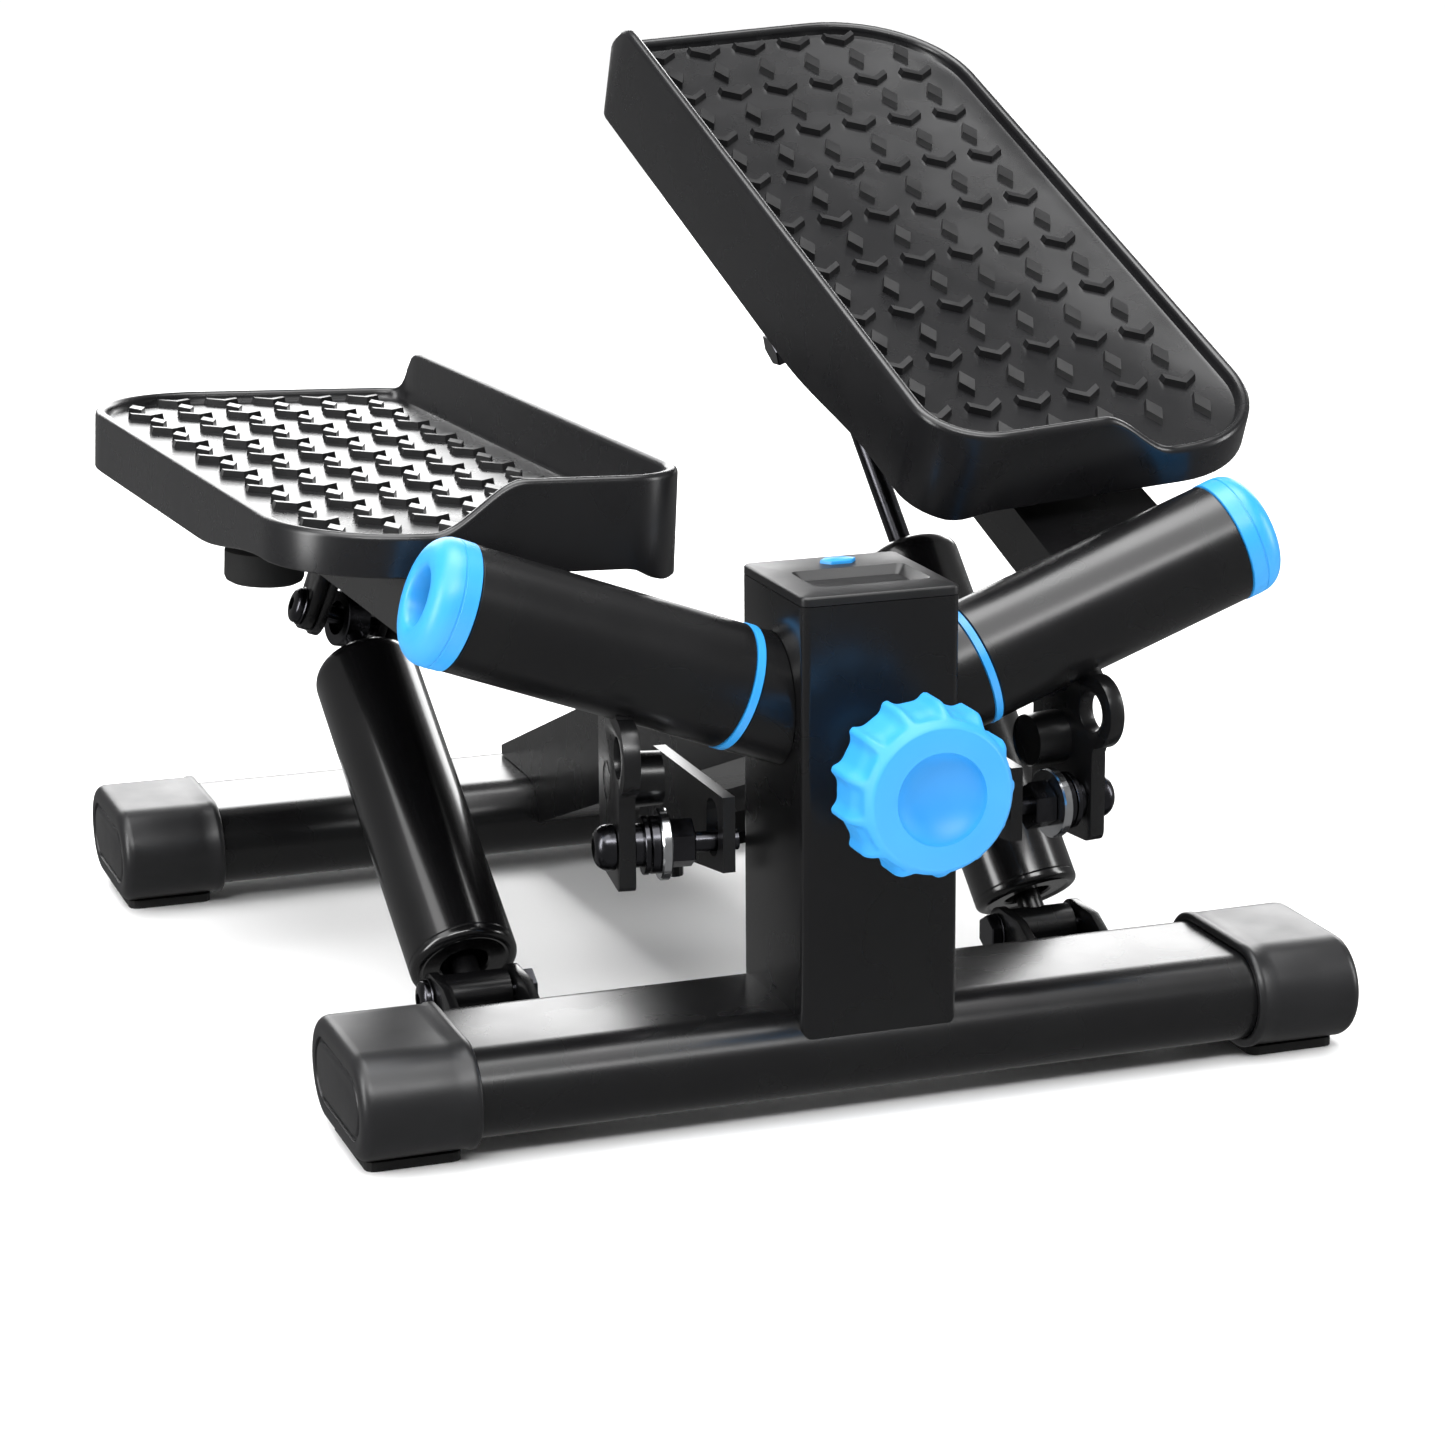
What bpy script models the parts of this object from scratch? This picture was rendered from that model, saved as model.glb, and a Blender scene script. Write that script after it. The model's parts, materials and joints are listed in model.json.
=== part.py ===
"""Twist stepper with two foot pedals, built piece by piece.

Metres, +Z up.  +X is the stepper's right, -Y its front, where the console post
stands.  Each side is drawn once with +X pointing away from the post, and the
left side is its mirror image.  The left pedal is low and the right one raised.
"""
import math

import bmesh
import bpy
from mathutils import Matrix, Vector

# ---- fit and smoothness ------------------------------------------------------
GAP = 0.0003                # between faces that touch on the real object
RUN = 0.0004                # radial clearance of what turns inside a bore
ROUND = 20                  # facets of a round piece
ROUND_SMALL = 12            # facets of a bolt or pin
ARC = 5                     # facets of a rounded corner

# ---- crossbars: flat-oval tube, end caps, foot pads --------------------------
FRONT_BAR_LENGTH = 0.420    # overall, over both end caps
REAR_BAR_LENGTH = 0.457
BAR_HEIGHT = 0.036
BAR_FLAT = 0.043            # width of the flat top
BAR_WALL = 0.0020
REAR_BAR_Y = 0.3633
CAP_LENGTH = 0.0467
CAP_PROUD = 0.0035          # how far a cap stands out of the tube all round
CAP_END = 0.0060            # thickness of its closed end
CAP_BEVEL = 0.0040
CAP_GROOVE = 0.0012
PAD_WIDTH = 0.0540
PAD_LENGTH = 0.0380
PAD_THICK = 0.0037
BAR_MID_Z = PAD_THICK + GAP + CAP_PROUD + BAR_HEIGHT / 2

# ---- console post and spine beam ---------------------------------------------
POST_WIDTH = 0.0650
POST_DEPTH = 0.0680
POST_MID_Y = -0.0030
POST_TOP = 0.2112           # top of the console lid
POST_WALL = 0.0025
POST_CORNER = 0.0030
SPINE_WIDTH = 0.0600
SPINE_DEPTH = 0.0490        # square to its length
SPINE_SLOPE = 21.1          # degrees, down towards the rear crossbar
SPINE_HIGH_Z = 0.1325       # its lower edge, where it meets the post
SPINE_WALL = 0.0025

# ---- console: lid, window, button --------------------------------------------
LID_THICK = 0.0036
LID_SKIRT = 0.0160
WINDOW_WIDTH = 0.0460
WINDOW_DEPTH = 0.0280
WINDOW_MID = (0.0030, -0.0035)
WINDOW_THICK = 0.0020
WINDOW_SUNK = 0.0012
BUTTON_LENGTH = 0.0150
BUTTON_WIDTH = 0.0080
BUTTON_MID = (0.0035, 0.0220)
BUTTON_PROUD = 0.0014
BUTTON_STEM = 0.0080

# ---- knob and its spindle ----------------------------------------------------
KNOB_Z = 0.1445
KNOB_FRONT = 0.0590         # its face, in front of the post
KNOB_LENGTH = 0.0400
KNOB_FACE_R = 0.0275
KNOB_R = 0.0345             # over the lobes
KNOB_LOBES = 13
KNOB_LOBE_DEPTH = 0.0018
KNOB_DISH_R = 0.0180
KNOB_DISH_DEPTH = 0.0100
SPINDLE_R = 0.0060
SPINDLE_INSIDE = 0.0300     # how far it reaches into the post

# ---- slanted hubs ------------------------------------------------------------
HUB_Y = -0.0050
HUB_Z = 0.1530
HUB_RISE = 20.2             # degrees, outward
HUB_R = 0.0247
HUB_WALL = 0.0030
COLLAR_END = 0.0506         # stations along the hub axis, from the middle plane
RING_END = 0.0544
TUBE_END = 0.1692
CAP_TIP = 0.1858
RING_PROUD = 0.0004
AXLE_R = 0.0080
AXLE_END = 0.1690
BUSH_LENGTH = 0.0200
CAP_HOLE_R = 0.0115
HUB_BOLT_R = 0.0084
HUB_BOLT_HEAD = 0.0065
HUB_WASHER_R = 0.0105
HUB_WASHER = 0.0030
SWING = 26.5                # degrees from a low pedal to a raised one

# ---- pedals ------------------------------------------------------------------
PEDAL_POINT = (0.0941, 0.3771, 0.2225)   # tread, inner rear, with the pedal low
PEDAL_TOE_IN = 3.75         # degrees
PEDAL_CANT = 3.0            # degrees, outer edge up
TRAY_REAR = 0.0180
TRAY_FRONT = -0.3400
TRAY_INNER = -0.0250
TRAY_OUTER = 0.1390
TRAY_WALL = 0.0050
TRAY_FLOOR = 0.0035
CORNER_REAR_OUT = 0.0600
CORNER_REAR_IN = 0.0160
CORNER_FRONT_OUT = 0.0480
CORNER_FRONT_IN = 0.0300
RIM_LOW = 0.0050
RIM_HIGH = 0.0250
SKIRT_DEEP = 0.0210
SKIRT_SHALLOW = 0.0120
SKIRT_INNER = 0.0060        # how much deeper it is under the inner wall
SKIRT_RISE = (-0.2000, -0.2900)          # where the skirt gets shallower
TOE_FALL = (0.0480, 0.0850)              # where the toe wall comes down
WALL_START = (0.0160, -0.0080)           # where the inner wall goes up
BUMPER_AT = (0.1120, -0.2070)
BUMPER_R = 0.0165
BUMPER_BOTTOM = -0.0390

# ---- pedal arms --------------------------------------------------------------
ARM_INNER = 0.0220          # measured in the pedal's own axes
ARM_OUTER = 0.0840
ARM_INNER_REAR = 0.0200
ARM_OUTER_REAR = 0.0700
ARM_REAR = -0.1000
ARM_TOP = -0.0225
ARM_BOTTOM = -0.0470
ARM_WALL = 0.0030

# ---- dampers -----------------------------------------------------------------
DAMPER_HEAD = (0.0434, -0.1089, -0.0786)  # upper eye, in the pedal's axes
DAMPER_FOOT = (0.1273, 0.0954, 0.0234)    # lower eye
DAMPER_R = 0.0230
DAMPER_START = 0.0145       # stations from the lower eye, along the damper
DAMPER_END = 0.1830
DAMPER_BORE_R = 0.0185
DAMPER_SOCKET_R = 0.0105
DAMPER_SOCKET = 0.0120
ROD_R = 0.0050
PISTON_STATION = 0.0520
PISTON_LENGTH = 0.0120
HEAD_EYE_R = 0.0125
HEAD_EYE_HOLE = 0.0075
HEAD_EYE_WIDTH = 0.0110
HEAD_EAR_GAP = 0.0240
HEAD_EAR = 0.0095
HEAD_EAR_R = 0.0110
HEAD_BOLT_R = 0.0040
FOOT_EYE_R = 0.0095
FOOT_EYE_WIDTH = 0.0280
FOOT_EAR_GAP = 0.0300
FOOT_EAR = 0.0040
FOOT_EAR_R = 0.0110
FOOT_BOLT_R = 0.0050
FOOT_PLATE_Z = 0.0090
FOOT_PLATE = 0.0040
BOLT_HEAD_R = 0.0085
BOLT_HEAD = 0.0050
NUT_R = 0.0085
NUT = 0.0060

# ---- link bracket under each hub, links and rocker ---------------------------
BRACKET_AT = (0.0955, -0.0007)
BRACKET_YAW = 8.0           # degrees
BRACKET_THICK = 0.0065
BRACKET_DEPTH = 0.0440
BRACKET_BOTTOM = 0.0977
BRACKET_LOBE_R = 0.0148
BRACKET_LOBE_AT = (-0.0205, 0.1513)      # along the bracket, height
BRACKET_HOLE_R = 0.0082
SLEEVE_AT = (0.0036, 0.1360)
SLEEVE_R = 0.0110
SLEEVE_HOLE_R = 0.0074
SLEEVE_LENGTH = 0.0145
LINK_BOLT_AT = (-0.0117, 0.1137)
LINK_BOLT_R = 0.0040
LINK_BOLT_END = 0.0500      # its inner end, from the middle plane
LINK_HEAD_R = 0.0090
LINK_HEAD = 0.0080
LINK_SPACER_R = 0.0115
LINK_SPACER = 0.0098
LINK_WASHER_R = 0.0140
LINK_WASHER = 0.0040
LINK_NUT_R = 0.0098
LINK_NUT = 0.0100
LINK_PLATE = 0.0050
LINK_PLANE = 0.0600         # the link's middle, from the middle plane
LINK_HEIGHT = 0.0300
LINK_SLOT_R = 0.0066
LINK_SLOT_RISE = 0.0164
ROCKER_Y = 0.0780
ROCKER_Z = 0.0900
ROCKER_ARM = 0.0520
ROCKER_WIDTH = 0.0260
ROCKER_THICK = 0.0050
ROCKER_PIN_R = 0.0060
ROCKER_LUG_R = 0.0090
LINK_PIN_R = 0.0040

BLACK = (0.012, 0.012, 0.013)
SOFT_BLACK = (0.020, 0.020, 0.021)
BLUE = (0.050, 0.360, 0.860)
STEEL = (0.620, 0.620, 0.630)


# ---- frames ------------------------------------------------------------------
def rotation(axis, degrees):
    return Matrix.Rotation(math.radians(degrees), 4, axis)


HUB_FRAME = Matrix.Translation((0, HUB_Y, HUB_Z)) @ rotation("Y", -HUB_RISE)
PEDAL_FRAME = (Matrix.Translation(PEDAL_POINT) @ rotation("Z", -PEDAL_TOE_IN)
               @ rotation("Y", -PEDAL_CANT))
MIRROR = Matrix.Scale(-1, 4, (1, 0, 0))


class Side:
    """One half of the stepper: its name, its sign in X and its pedal's swing."""

    def __init__(self, name, sign, raised):
        self.name = name
        self.sign = sign
        self.swing = HUB_FRAME @ rotation("X", raised) @ HUB_FRAME.inverted()

    def world(self, frame, swings):
        turned = self.swing @ frame if swings else frame
        return turned if self.sign > 0 else MIRROR @ turned @ MIRROR


LEFT = Side("left", -1, 0.0)
RIGHT = Side("right", 1, SWING)
SIDES = (LEFT, RIGHT)


# ---- objects -----------------------------------------------------------------
def clear_scene():
    for thing in list(bpy.data.objects):
        bpy.data.objects.remove(thing, do_unlink=True)


def material(name, colour, roughness, metallic):
    made = bpy.data.materials.new(name)
    made.use_nodes = True
    shader = made.node_tree.nodes["Principled BSDF"]
    shader.inputs["Base Color"].default_value = (*colour, 1)
    shader.inputs["Roughness"].default_value = roughness
    shader.inputs["Metallic"].default_value = metallic
    made.diffuse_color = (*colour, 1)
    return made


def pivot(name, frame, side=None, swings=False):
    """An empty on a joint's axis."""
    empty = bpy.data.objects.new(name, None)
    empty.empty_display_size = 0.02
    empty.matrix_world = side.world(frame, swings) if side else frame
    bpy.context.collection.objects.link(empty)
    return empty


def add(name, bm, finish, frame=None, side=None, swings=False, parent=None):
    """Turn a bmesh into a named object, mirrored when it is on the left."""
    frame = frame or Matrix.Identity(4)
    if side and side.sign < 0:
        bmesh.ops.scale(bm, vec=(-1, 1, 1), verts=bm.verts)
    bmesh.ops.remove_doubles(bm, verts=bm.verts, dist=1e-6)
    bmesh.ops.recalc_face_normals(bm, faces=bm.faces)
    mesh = bpy.data.meshes.new(name)
    bm.to_mesh(mesh)
    bm.free()
    mesh.shade_smooth()
    mesh.set_sharp_from_angle(angle=math.radians(35))
    made = bpy.data.objects.new(name, mesh)
    bpy.context.collection.objects.link(made)
    world = side.world(frame, swings) if side else frame
    if parent:
        made.parent = parent
        made.matrix_basis = parent.matrix_world.inverted() @ world
    else:
        made.matrix_world = world
    if finish:
        mesh.materials.append(finish)
    return made


def helper(name, bm, frame=None, side=None, swings=False):
    """A guide that only shapes another piece."""
    made = add(name, bm, None, frame, side, swings)
    made.hide_render = True
    made.display_type = "WIRE"
    return made


def boolean(piece, other, operation):
    step = piece.modifiers.new(operation.title(), "BOOLEAN")
    step.operation = operation
    step.solver = "EXACT"
    step.object = other


def cut(piece, *cutters):
    for cutter in cutters:
        boolean(piece, cutter, "DIFFERENCE")


def join(piece, *others):
    for other in others:
        boolean(piece, other, "UNION")


# ---- shapes ------------------------------------------------------------------
def skin(loops, start_cap=True, end_cap=True, ring=False):
    """Bridge loops of points, in order, into one closed surface."""
    bm = bmesh.new()
    rows = [[bm.verts.new(point) for point in loop] for loop in loops]
    pairs = list(zip(rows, rows[1:]))
    if ring:
        pairs.append((rows[-1], rows[0]))
    for low, high in pairs:
        for i in range(len(low)):
            j = (i + 1) % len(low)
            bm.faces.new((low[i], low[j], high[j], high[i]))
    if not ring:
        if start_cap:
            bm.faces.new(list(reversed(rows[0])))
        if end_cap:
            bm.faces.new(rows[-1])
    return bm


def box(low, high):
    (x0, y0, z0), (x1, y1, z1) = low, high
    base = [(x0, y0), (x1, y0), (x1, y1), (x0, y1)]
    return skin([[(x, y, z) for x, y in base] for z in (z0, z1)])


def oval(flat, radius, x, mid_y=0.0, mid_z=BAR_MID_Z, facets=ROUND // 2):
    """A flat-oval outline at station x, in the YZ plane."""
    points = []
    for centre, start in ((flat / 2, -90), (-flat / 2, 90)):
        for i in range(facets + 1):
            angle = math.radians(start + 180 * i / facets)
            y = mid_y + centre + radius * math.cos(angle)
            points.append((x, y, mid_z + radius * math.sin(angle)))
    return points


def circle(radius, height, facets, shift=(0, 0)):
    turn = [2 * math.pi * i / facets for i in range(facets)]
    return [(shift[0] + radius * math.cos(a), shift[1] + radius * math.sin(a), height)
            for a in turn]


def turned(profile, facets=ROUND, hollow=False):
    """Revolve (radius, height) points about Z; a hollow profile is a loop."""
    return skin([circle(r, z, facets) for r, z in profile], ring=hollow)


def along_x(bm):
    """Lay a shape drawn along Z down along X."""
    bmesh.ops.transform(bm, matrix=rotation("Y", 90), verts=bm.verts)
    return bm


def along_y(bm):
    """Lay a shape drawn along Z down along -Y."""
    bmesh.ops.transform(bm, matrix=rotation("X", 90), verts=bm.verts)
    return bm


def prism(points, start, end, axis):
    """Extrude an outline; axis "X" takes (y, z) points and "Z" takes (x, y)."""
    if axis == "X":
        return skin([[(x, y, z) for y, z in points] for x in (start, end)])
    return skin([[(x, y, z) for x, y in points] for z in (start, end)])


def rounded(x0, x1, y0, y1, corners, facets=ARC):
    """A rectangle with its own radius at each corner, anticlockwise from x0 y0."""
    spots = ((x0, y0, 1, 1, 180), (x1, y0, -1, 1, 270), (x1, y1, -1, -1, 0),
             (x0, y1, 1, -1, 90))
    points = []
    for (x, y, sx, sy, start), radius in zip(spots, corners):
        for i in range(facets + 1):
            angle = math.radians(start + 90 * i / facets)
            points.append((x + sx * radius + radius * math.cos(angle),
                           y + sy * radius + radius * math.sin(angle)))
    return points


def tab(radius, corners, facets=8):
    """A round end about the origin, closed by the given corner points."""
    side = 1 if corners[0][1] > 0 else -1
    turn = [math.pi * i / facets for i in range(facets + 1)]
    return [(radius * math.cos(a), -side * radius * math.sin(a)) for a in turn] + corners


def bar_cutter(name, mid_y):
    flat, radius = BAR_FLAT, BAR_HEIGHT / 2 + GAP
    reach = FRONT_BAR_LENGTH / 2
    return helper(name, skin([oval(flat, radius, x, mid_y) for x in (-reach, reach)]))


# ---- crossbars ---------------------------------------------------------------
def crossbar(name, length, mid_y, finish):
    """A steel flat-oval tube, open at both ends under its caps."""
    reach = length / 2 - CAP_END - GAP
    outer, inner = BAR_HEIGHT / 2, BAR_HEIGHT / 2 - BAR_WALL
    loops = [oval(BAR_FLAT, r, x, mid_y) for r, x in
             ((outer, -reach), (outer, reach), (inner, reach), (inner, -reach))]
    return add(name, skin(loops, ring=True), finish)


def end_cap(name, side, length, mid_y, finish):
    """A moulded cap pushed over the tube's end, with a groove round its face."""
    tip = length / 2
    mouth = tip - CAP_LENGTH
    pocket = BAR_HEIGHT / 2 + GAP
    outer = BAR_HEIGHT / 2 + CAP_PROUD
    face = outer - CAP_BEVEL
    half_bevel = CAP_BEVEL * 0.3
    stations = ((pocket, tip - CAP_END), (pocket, mouth), (outer, mouth),
                (outer, tip - CAP_BEVEL), (outer - half_bevel, tip - half_bevel), (face, tip),
                (face - 0.0020, tip), (face - 0.0028, tip - CAP_GROOVE),
                (face - 0.0040, tip - CAP_GROOVE), (face - 0.0048, tip))
    loops = [oval(BAR_FLAT, r, x, mid_y) for r, x in stations]
    return add(name, skin(loops), finish, side=side)


def foot_pad(name, side, length, mid_y, finish):
    """A thin rubber pad under the cap; the stepper stands on it."""
    middle = (length - CAP_LENGTH) / 2
    outline = rounded(middle - PAD_LENGTH / 2, middle + PAD_LENGTH / 2,
                      mid_y - PAD_WIDTH / 2, mid_y + PAD_WIDTH / 2, [0.004] * 4, 3)
    return add(name, prism(outline, 0.0, PAD_THICK, "Z"), finish, side=side)


# ---- post and spine ----------------------------------------------------------
def post_outline(inset=0.0):
    half_x, half_y = POST_WIDTH / 2 - inset, POST_DEPTH / 2 - inset
    corner = max(POST_CORNER - inset, 0.0006)
    return rounded(-half_x, half_x, POST_MID_Y - half_y, POST_MID_Y + half_y,
                   [corner] * 4, 3)


def post(finish):
    """The square steel post, welded over the front crossbar, open at the top."""
    outer, inner = post_outline(), post_outline(POST_WALL)
    low, high = BAR_MID_Z + 0.004, POST_TOP - LID_THICK - GAP
    loops = [[(x, y, z) for x, y in outline] for outline, z in
             ((outer, low), (outer, high), (inner, high), (inner, low))]
    made = add("tower_post", skin(loops, ring=True), finish)
    hole = along_y(turned([(SPINDLE_R + RUN, 0), (SPINDLE_R + RUN, POST_DEPTH)],
                          ROUND_SMALL))
    hole_frame = Matrix.Translation((0, POST_MID_Y, KNOB_Z))
    cut(made, bar_cutter("post_saddle", 0.0), helper("spindle_hole", hole, hole_frame))
    return made


def spine_edges(y):
    """Heights of the spine's lower and upper faces at a distance back."""
    slope = math.radians(SPINE_SLOPE)
    back = POST_MID_Y + POST_DEPTH / 2
    low = SPINE_HIGH_Z - (y - back) * math.tan(slope)
    return low, low + SPINE_DEPTH / math.cos(slope)


def spine(finish):
    """The sloping box beam from the post down on to the rear crossbar."""
    front = POST_MID_Y + POST_DEPTH / 2 + GAP
    low_rear = REAR_BAR_Y - BAR_FLAT * 0.42
    top_rear = REAR_BAR_Y + BAR_FLAT / 2
    outline = [(front, spine_edges(front)[0]), (low_rear, spine_edges(low_rear)[0]),
               (top_rear, BAR_MID_Z), (top_rear, spine_edges(top_rear)[1]),
               (front, spine_edges(front)[1])]
    half = SPINE_WIDTH / 2
    made = add("spine_beam", prism(outline, -half, half, "X"), finish)
    step = SPINE_WALL / math.cos(math.radians(SPINE_SLOPE))
    inner_end = REAR_BAR_Y - 0.075
    ahead = front - 0.01
    hollow = [(ahead, spine_edges(ahead)[0] + step), (inner_end, spine_edges(inner_end)[0] + step),
              (inner_end, spine_edges(inner_end)[1] - step),
              (ahead, spine_edges(ahead)[1] - step)]
    inside = half - SPINE_WALL
    cut(made, bar_cutter("spine_saddle", REAR_BAR_Y),
        helper("spine_hollow", prism(hollow, -inside, inside, "X")))
    return made


# ---- console -----------------------------------------------------------------
def console(finish, window_finish, button_finish):
    """The lid with its skirt inside the post, the window and the reset button."""
    top, low = POST_TOP, POST_TOP - LID_THICK
    lid = post_outline()
    edge = post_outline(0.0010)
    plug = post_outline(POST_WALL + GAP)
    hollow = post_outline(POST_WALL + GAP + 0.0018)
    stack = ((hollow, low), (hollow, low - LID_SKIRT), (plug, low - LID_SKIRT), (plug, low),
             (lid, low), (lid, top - 0.0010), (edge, top))
    housing = add("console_housing", skin([[(x, y, z) for x, y in outline]
                                           for outline, z in stack]), finish)
    wx, wy = WINDOW_MID
    wy += POST_MID_Y
    half_x, half_y = WINDOW_WIDTH / 2, WINDOW_DEPTH / 2
    mouth = rounded(wx - half_x, wx + half_x, wy - half_y, wy + half_y, [0.003] * 4, 3)
    window_top = top - WINDOW_SUNK
    window_low = window_top - WINDOW_THICK
    seat = prism(mouth, window_low - GAP, top + 0.002, "Z")
    glass = rounded(wx - half_x + GAP, wx + half_x - GAP, wy - half_y + GAP,
                    wy + half_y - GAP, [0.0028] * 4, 3)
    add("display_window", prism(glass, window_low, window_top, "Z"), window_finish)

    bx, by = BUTTON_MID
    half_l, half_w = BUTTON_LENGTH / 2, BUTTON_WIDTH / 2
    hole = rounded(-half_l - RUN, half_l + RUN, -half_w - RUN, half_w + RUN,
                   [half_w * 0.9] * 4, 4)
    at = Matrix.Translation((bx, by + POST_MID_Y, top))
    slot = helper("button_slot", prism(hole, -0.03, 0.01, "Z"), at)
    cut(housing, helper("window_seat", seat), slot)
    key = rounded(-half_l, half_l, -half_w, half_w, [half_w * 0.9] * 4, 4)
    crown = rounded(-half_l + 0.0005, half_l - 0.0005, -half_w + 0.0005, half_w - 0.0005,
                    [half_w * 0.8] * 4, 4)
    loops = [[(x, y, z) for x, y in outline] for outline, z in
             ((key, -BUTTON_STEM), (key, BUTTON_PROUD - 0.0005), (crown, BUTTON_PROUD))]
    button_pivot = pivot("button_travel", at)
    add("reset_button", skin(loops), button_finish, at, parent=button_pivot)


# ---- knob --------------------------------------------------------------------
def knob(finish, steel):
    """The lobed hand knob on its spindle, which ends in a nut inside the post."""
    face = POST_MID_Y - POST_DEPTH / 2 - KNOB_FRONT
    frame = Matrix.Translation((0, face, KNOB_Z))
    turn = pivot("knob_turn", frame)
    facets = KNOB_LOBES * 3

    def lobed(radius, depth, y):
        loop = []
        for i in range(facets):
            a = 2 * math.pi * i / facets
            r = radius + depth * math.cos(KNOB_LOBES * a)
            loop.append((r * math.cos(a), y, r * math.sin(a)))
        return loop

    bore = SPINDLE_R + GAP
    dish = KNOB_DISH_R
    mid = KNOB_R - KNOB_LOBE_DEPTH
    web = KNOB_LENGTH * 0.45
    loops = [lobed(0.0010, 0, KNOB_DISH_DEPTH), lobed(dish * 0.60, 0, KNOB_DISH_DEPTH * 0.75),
             lobed(dish, 0, 0.0006), lobed(dish + 0.0012, 0, 0), lobed(KNOB_FACE_R, 0, 0),
             lobed(KNOB_FACE_R + 0.0030, KNOB_LOBE_DEPTH * 0.2, 0.0022),
             lobed(mid, KNOB_LOBE_DEPTH, 0.0090), lobed(mid, KNOB_LOBE_DEPTH, 0.0270),
             lobed(mid - 0.0030, KNOB_LOBE_DEPTH, 0.0290),
             lobed(SPINDLE_R + 0.0080, 0, 0.0290), lobed(SPINDLE_R + 0.0065, 0, KNOB_LENGTH),
             lobed(bore, 0, KNOB_LENGTH), lobed(bore, 0, web)]
    add("knob", skin(loops), finish, frame, parent=turn)

    reach = KNOB_FRONT + POST_WALL + SPINDLE_INSIDE
    shaft = along_y(turned([(SPINDLE_R - 0.001, -reach), (SPINDLE_R, 0.001 - reach),
                            (SPINDLE_R, -web - 0.001 - GAP), (SPINDLE_R - 0.001, -web - GAP)],
                           ROUND_SMALL))
    add("knob_spindle", shaft, steel, frame, parent=turn)

    inside = POST_WIDTH / 2 - POST_WALL - GAP
    back = -(KNOB_FRONT + POST_WALL + 0.012)
    half = NUT
    nut = box((-inside, -back - half, -0.009), (inside, -back + half, 0.009))
    block = add("spindle_nut", nut, steel, frame)
    bore_tool = along_y(turned([(SPINDLE_R + RUN, back - 0.02), (SPINDLE_R + RUN, back + 0.02)],
                               ROUND_SMALL))
    cut(block, helper("nut_bore", bore_tool, frame))


# ---- hubs --------------------------------------------------------------------
def hub_parts(side, swing, black, blue, nylon, steel):
    """The fixed collar and axle, the turning tube on its bushes, and the cap."""
    name = side.name
    profile = [(HUB_R, 0.020), (HUB_R, COLLAR_END), (AXLE_R, COLLAR_END), (AXLE_R, AXLE_END)]
    collar = add("hub_axle_" + name, along_x(turned(profile)), black, HUB_FRAME, side)
    wide = POST_WIDTH / 2 + GAP
    tool = box((-wide, POST_MID_Y - 0.06, 0.02), (wide, POST_MID_Y + 0.06, 0.30))
    cut(collar, helper("collar_trim_" + name, tool, side=side))

    bore = AXLE_R + GAP
    ring = [(bore, COLLAR_END + GAP), (HUB_R + RING_PROUD, COLLAR_END + GAP),
            (HUB_R + RING_PROUD, RING_END), (bore, RING_END)]
    add("hub_ring_" + name, along_x(turned(ring, hollow=True)), blue, HUB_FRAME, side)

    start, end = RING_END + GAP, TUBE_END
    inner = HUB_R - HUB_WALL
    tube = [(inner, start), (HUB_R, start), (HUB_R, end), (inner, end)]
    add("hub_tube_" + name, along_x(turned(tube, hollow=True)), black, HUB_FRAME, side,
        True, swing)
    for label, low in (("inner", start), ("outer", end - BUSH_LENGTH)):
        high = low + BUSH_LENGTH
        bush = [(AXLE_R + RUN, low), (inner - GAP, low), (inner - GAP, high),
                (AXLE_R + RUN, high)]
        add("hub_bush_%s_%s" % (label, name), along_x(turned(bush, hollow=True)), nylon,
            HUB_FRAME, side, True, swing)

    base = TUBE_END + GAP
    dome = [(CAP_HOLE_R, base), (HUB_R, base), (HUB_R + 0.0004, base + 0.0030),
            (HUB_R + 0.0002, base + 0.0070), (HUB_R - 0.0012, base + 0.0108),
            (HUB_R - 0.0034, CAP_TIP - 0.0022), (HUB_R - 0.0066, CAP_TIP - 0.0006),
            (HUB_R - 0.0096, CAP_TIP), (CAP_HOLE_R + 0.0008, CAP_TIP - 0.0010),
            (CAP_HOLE_R, CAP_TIP - 0.0030)]
    add("hub_cap_" + name, along_x(turned(dome, hollow=True)), blue, HUB_FRAME, side,
        True, swing)

    seat = AXLE_END + GAP
    face = seat + HUB_WASHER
    tip = face + HUB_BOLT_HEAD
    bolt = [(HUB_WASHER_R, seat), (HUB_WASHER_R, face), (HUB_BOLT_R, face),
            (HUB_BOLT_R, tip - 0.0025), (HUB_BOLT_R - 0.0025, tip - 0.0004),
            (0.0045, tip), (0.0042, tip), (0.0042, tip - 0.0030)]
    add("hub_bolt_" + name, along_x(turned(bolt, ROUND_SMALL)), steel, HUB_FRAME, side)


# ---- pedals ------------------------------------------------------------------
def smooth_step(value, start, end):
    t = min(max((value - start) / (end - start), 0.0), 1.0)
    return t * t * (3 - 2 * t)


def rim_height(x, y):
    """Height of the tray's edge: high along the inner side and most of the toe."""
    inner = smooth_step(x, TRAY_INNER + 0.030, TRAY_INNER + 0.010)
    up_rear = smooth_step(y, *WALL_START)
    toe = smooth_step(y, TRAY_FRONT + 0.060, TRAY_FRONT + 0.030)
    across = smooth_step(x, TOE_FALL[1], TOE_FALL[0])
    high = max(inner * up_rear, toe * across)
    return RIM_LOW + (RIM_HIGH - RIM_LOW) * high


def skirt_depth(x, y):
    rise = smooth_step(y, *SKIRT_RISE)
    deeper = SKIRT_INNER * smooth_step(x, TRAY_INNER + 0.030, TRAY_INNER + 0.010)
    return -(SKIRT_DEEP + (SKIRT_SHALLOW - SKIRT_DEEP) * rise + deeper)


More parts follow.
